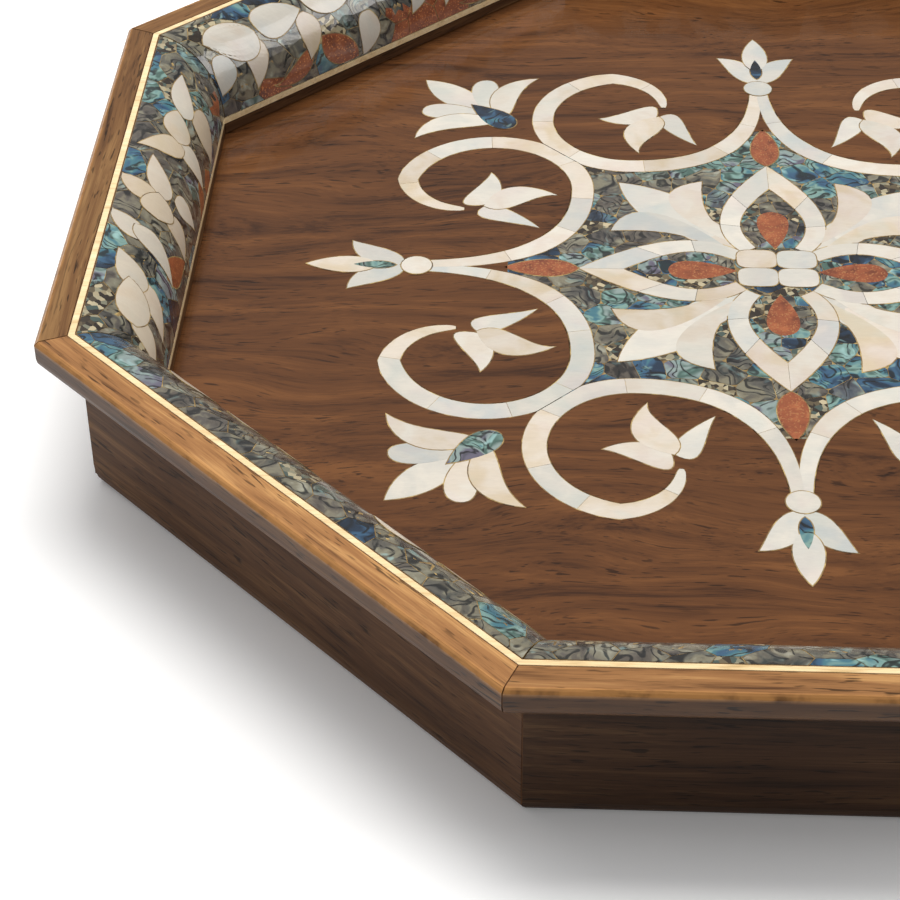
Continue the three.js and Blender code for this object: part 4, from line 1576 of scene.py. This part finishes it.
class TRAY_OT_sprigs(bpy.types.Operator):
    """Build the eight three-petalled sprigs inside the scrolls"""

    bl_idname = "tray.sprigs"
    bl_label = "Sprigs"

    def execute(self, context):
        s = settings_of(context, "tray_inlay")
        for turn, arm in enumerate(ARMS):
            for k, side in enumerate(("near", "far")):
                plates = Plates(seed_of(s, "sprigs", 2 * turn + k))
                for layer, outline in enumerate(SPRIG):
                    outline = over_axis(outline) if side == "far" else outline
                    plates.shape(turned(outline, turn), s, 1 + layer)
                name = arm + "_" + side
                plates.piece("sprig_flower_" + name, ["sprig_" + name])
        return {"FINISHED"}


class TRAY_OT_lilies(bpy.types.Operator):
    """Build the corner lilies and the inner lilies of the medallion"""

    bl_idname = "tray.lilies"
    bl_label = "Lilies"

    def execute(self, context):
        s = settings_of(context, "tray_inlay")
        for turn, corner in enumerate(CORNERS):
            plates = Plates(seed_of(s, "corner_lilies", turn))
            parts = [
                (LILY_TIP, PEARL),
                (LILY_LOBE, PEARL),
                (over_diagonal(LILY_LOBE), PEARL),
                (LILY_WING, PEARL),
                (over_diagonal(LILY_WING), PEARL),
                (LILY_HEART, ABALONE),
            ]
            for layer, (outline, slot) in enumerate(parts):
                plates.shape(turned(outline, turn), s, 1 + layer, slot)
            plates.piece("corner_flower_" + corner, ["corner_lily_" + corner])

            plates = Plates(seed_of(s, "inner_lilies", turn))
            parts = [
                petal((-0.085, -0.085), (-0.26, -0.26), 0.05, 0.05),
                petal((-0.13, -0.13), (-0.342, -0.332), 0.066, 0.066),
                INNER_WING,
                over_diagonal(INNER_WING),
            ]
            for layer, outline in enumerate(parts):
                plates.shape(turned(outline, turn), s, 0.4 + layer * 0.3)
            plates.piece("inner_flower_" + corner, ["inner_lily_" + corner])
        return {"FINISHED"}


class TRAY_OT_stage(bpy.types.Operator):
    """Set the pale floor, the soft light and the camera"""

    bl_idname = "tray.stage"
    bl_label = "Stage"

    def lamp(self, name, place, size, power, colour=(1, 1, 1)):
        """A soft rectangular light that faces the tray's middle."""
        data = bpy.data.lights.new(name, "AREA")
        data.shape = "RECTANGLE"
        data.size, data.size_y = size
        data.energy = power
        data.color = colour
        lamp = bpy.data.objects.new(name, data)
        bpy.context.scene.collection.objects.link(lamp)
        lamp.location = place
        lamp.rotation_mode = "QUATERNION"
        lamp.rotation_quaternion = (Vector((0, 0, FLOOR)) - Vector(place)).to_track_quat("-Z", "Y")
        return lamp

    def execute(self, context):
        s = settings_of(context, "tray_stage")
        scene = context.scene
        mesh = bpy.data.meshes.new("studio_floor")
        reach = 6.0
        corners = [(-reach, -reach, 0), (reach, -reach, 0), (reach, reach, 0), (-reach, reach, 0)]
        mesh.from_pydata(corners, [], [(0, 1, 2, 3)])
        floor = bpy.data.objects.new("studio_floor", mesh)
        scene.collection.objects.link(floor)
        finish = Finish("studio_paper")
        # The paper is lit through from below as well, so that it stays white round the tray.
        paper = tuple(s.backdrop)
        finish.set(Base_Color=paper, Roughness=0.6, Emission_Color=paper, Emission_Strength=s.glow)
        mesh.materials.append(finish.material)

        world = bpy.data.worlds.new("studio_world")
        scene.world = world
        world.use_nodes = True
        n = Nodes(world.node_tree)
        direction = n.new("ShaderNodeTexCoord").outputs["Generated"]
        split = n.new("ShaderNodeSeparateXYZ")
        n.feed(split.inputs[0], direction)
        # The room is bright above, behind and to the left, and dark where the viewer stands.
        facing = 0.0
        for part, weight in zip(split.outputs, (-0.75, 0.15, 0.6)):
            facing = n.add(facing, n.mul(part, weight))
        bright = n.step(facing, -0.45, 0.9, 0.05, 0.5)
        background = world.node_tree.nodes["Background"]
        n.feed(background.inputs["Color"], n.xyz(bright, bright, bright))
        background.inputs["Strength"].default_value = 1.0
        key = self.lamp("key_light", (-0.12, 0.85, 2.35), (1.5, 1.3), 55.0, (1.0, 0.985, 0.96))
        key.visible_glossy = False
        self.lamp("gloss_light", (-0.9, 0.5, 1.9), (0.9, 0.9), 7.0)
        self.lamp("side_light", (1.3, 0.05, 1.0), (0.9, 0.9), 11.0)

        camera_data = bpy.data.cameras.new("camera")
        camera_data.sensor_width = 36.0
        camera_data.lens = s.lens
        camera_data.clip_start, camera_data.clip_end = 0.01, 50
        camera = bpy.data.objects.new("camera", camera_data)
        scene.collection.objects.link(camera)
        az, el, roll = s.azimuth, s.elevation, s.roll
        back = Vector((math.sin(az) * math.cos(el), -math.cos(az) * math.cos(el), math.sin(el)))
        right = (-back).cross(Vector((0, 0, 1))).normalized()
        up = right.cross(-back)
        tilt, lean = math.cos(roll), math.sin(roll)
        place = Matrix((right * tilt + up * lean, up * tilt - right * lean, back)).transposed().to_4x4()
        place.translation = Vector(s.station) * RADIUS + Vector((0, 0, FLOOR))
        camera.matrix_world = place
        scene.camera = camera
        scene.view_settings.view_transform = "Standard"
        return {"FINISHED"}


OPERATORS = [
    TRAY_OT_wood,
    TRAY_OT_wall_mosaic,
    TRAY_OT_ground,
    TRAY_OT_rosette,
    TRAY_OT_scrolls,
    TRAY_OT_finials,
    TRAY_OT_sprigs,
    TRAY_OT_lilies,
    TRAY_OT_stage,
]


class TRAY_PT_panel(bpy.types.Panel):
    """Sizes, colours and steps of the inlaid tray"""

    bl_idname = "TRAY_PT_panel"
    bl_label = "Inlaid Tray"
    bl_space_type = "VIEW_3D"
    bl_region_type = "UI"
    bl_category = "Inlaid Tray"

    def draw(self, context):
        for name in SETTINGS:
            box = self.layout.box()
            group = settings_of(context, name)
            for key in group.__annotations__:
                box.prop(group, key)
        for operator in OPERATORS:
            self.layout.operator(operator.bl_idname)


SETTINGS = {
    "tray_wood": TrayWoodSettings,
    "tray_mosaic": TrayMosaicSettings,
    "tray_inlay": TrayInlaySettings,
    "tray_stage": TrayStageSettings,
}


def register():
    """Make the settings, steps and panel known."""
    for cls in (*SETTINGS.values(), *OPERATORS, TRAY_PT_panel):
        bpy.utils.register_class(cls)
    for name, cls in SETTINGS.items():
        setattr(bpy.types.Scene, name, bpy.props.PointerProperty(type=cls))


def unregister():
    for name in SETTINGS:
        delattr(bpy.types.Scene, name)
    for cls in (TRAY_PT_panel, *reversed(OPERATORS), *reversed(list(SETTINGS.values()))):
        bpy.utils.unregister_class(cls)


def main():
    """Run every step in order."""
    register()
    for operator in OPERATORS:
        step = operator.bl_idname.split(".")[1]
        if getattr(bpy.ops.tray, step)() != {"FINISHED"}:
            raise RuntimeError(operator.bl_label + " did not finish")


if __name__ == "__main__":
    main()
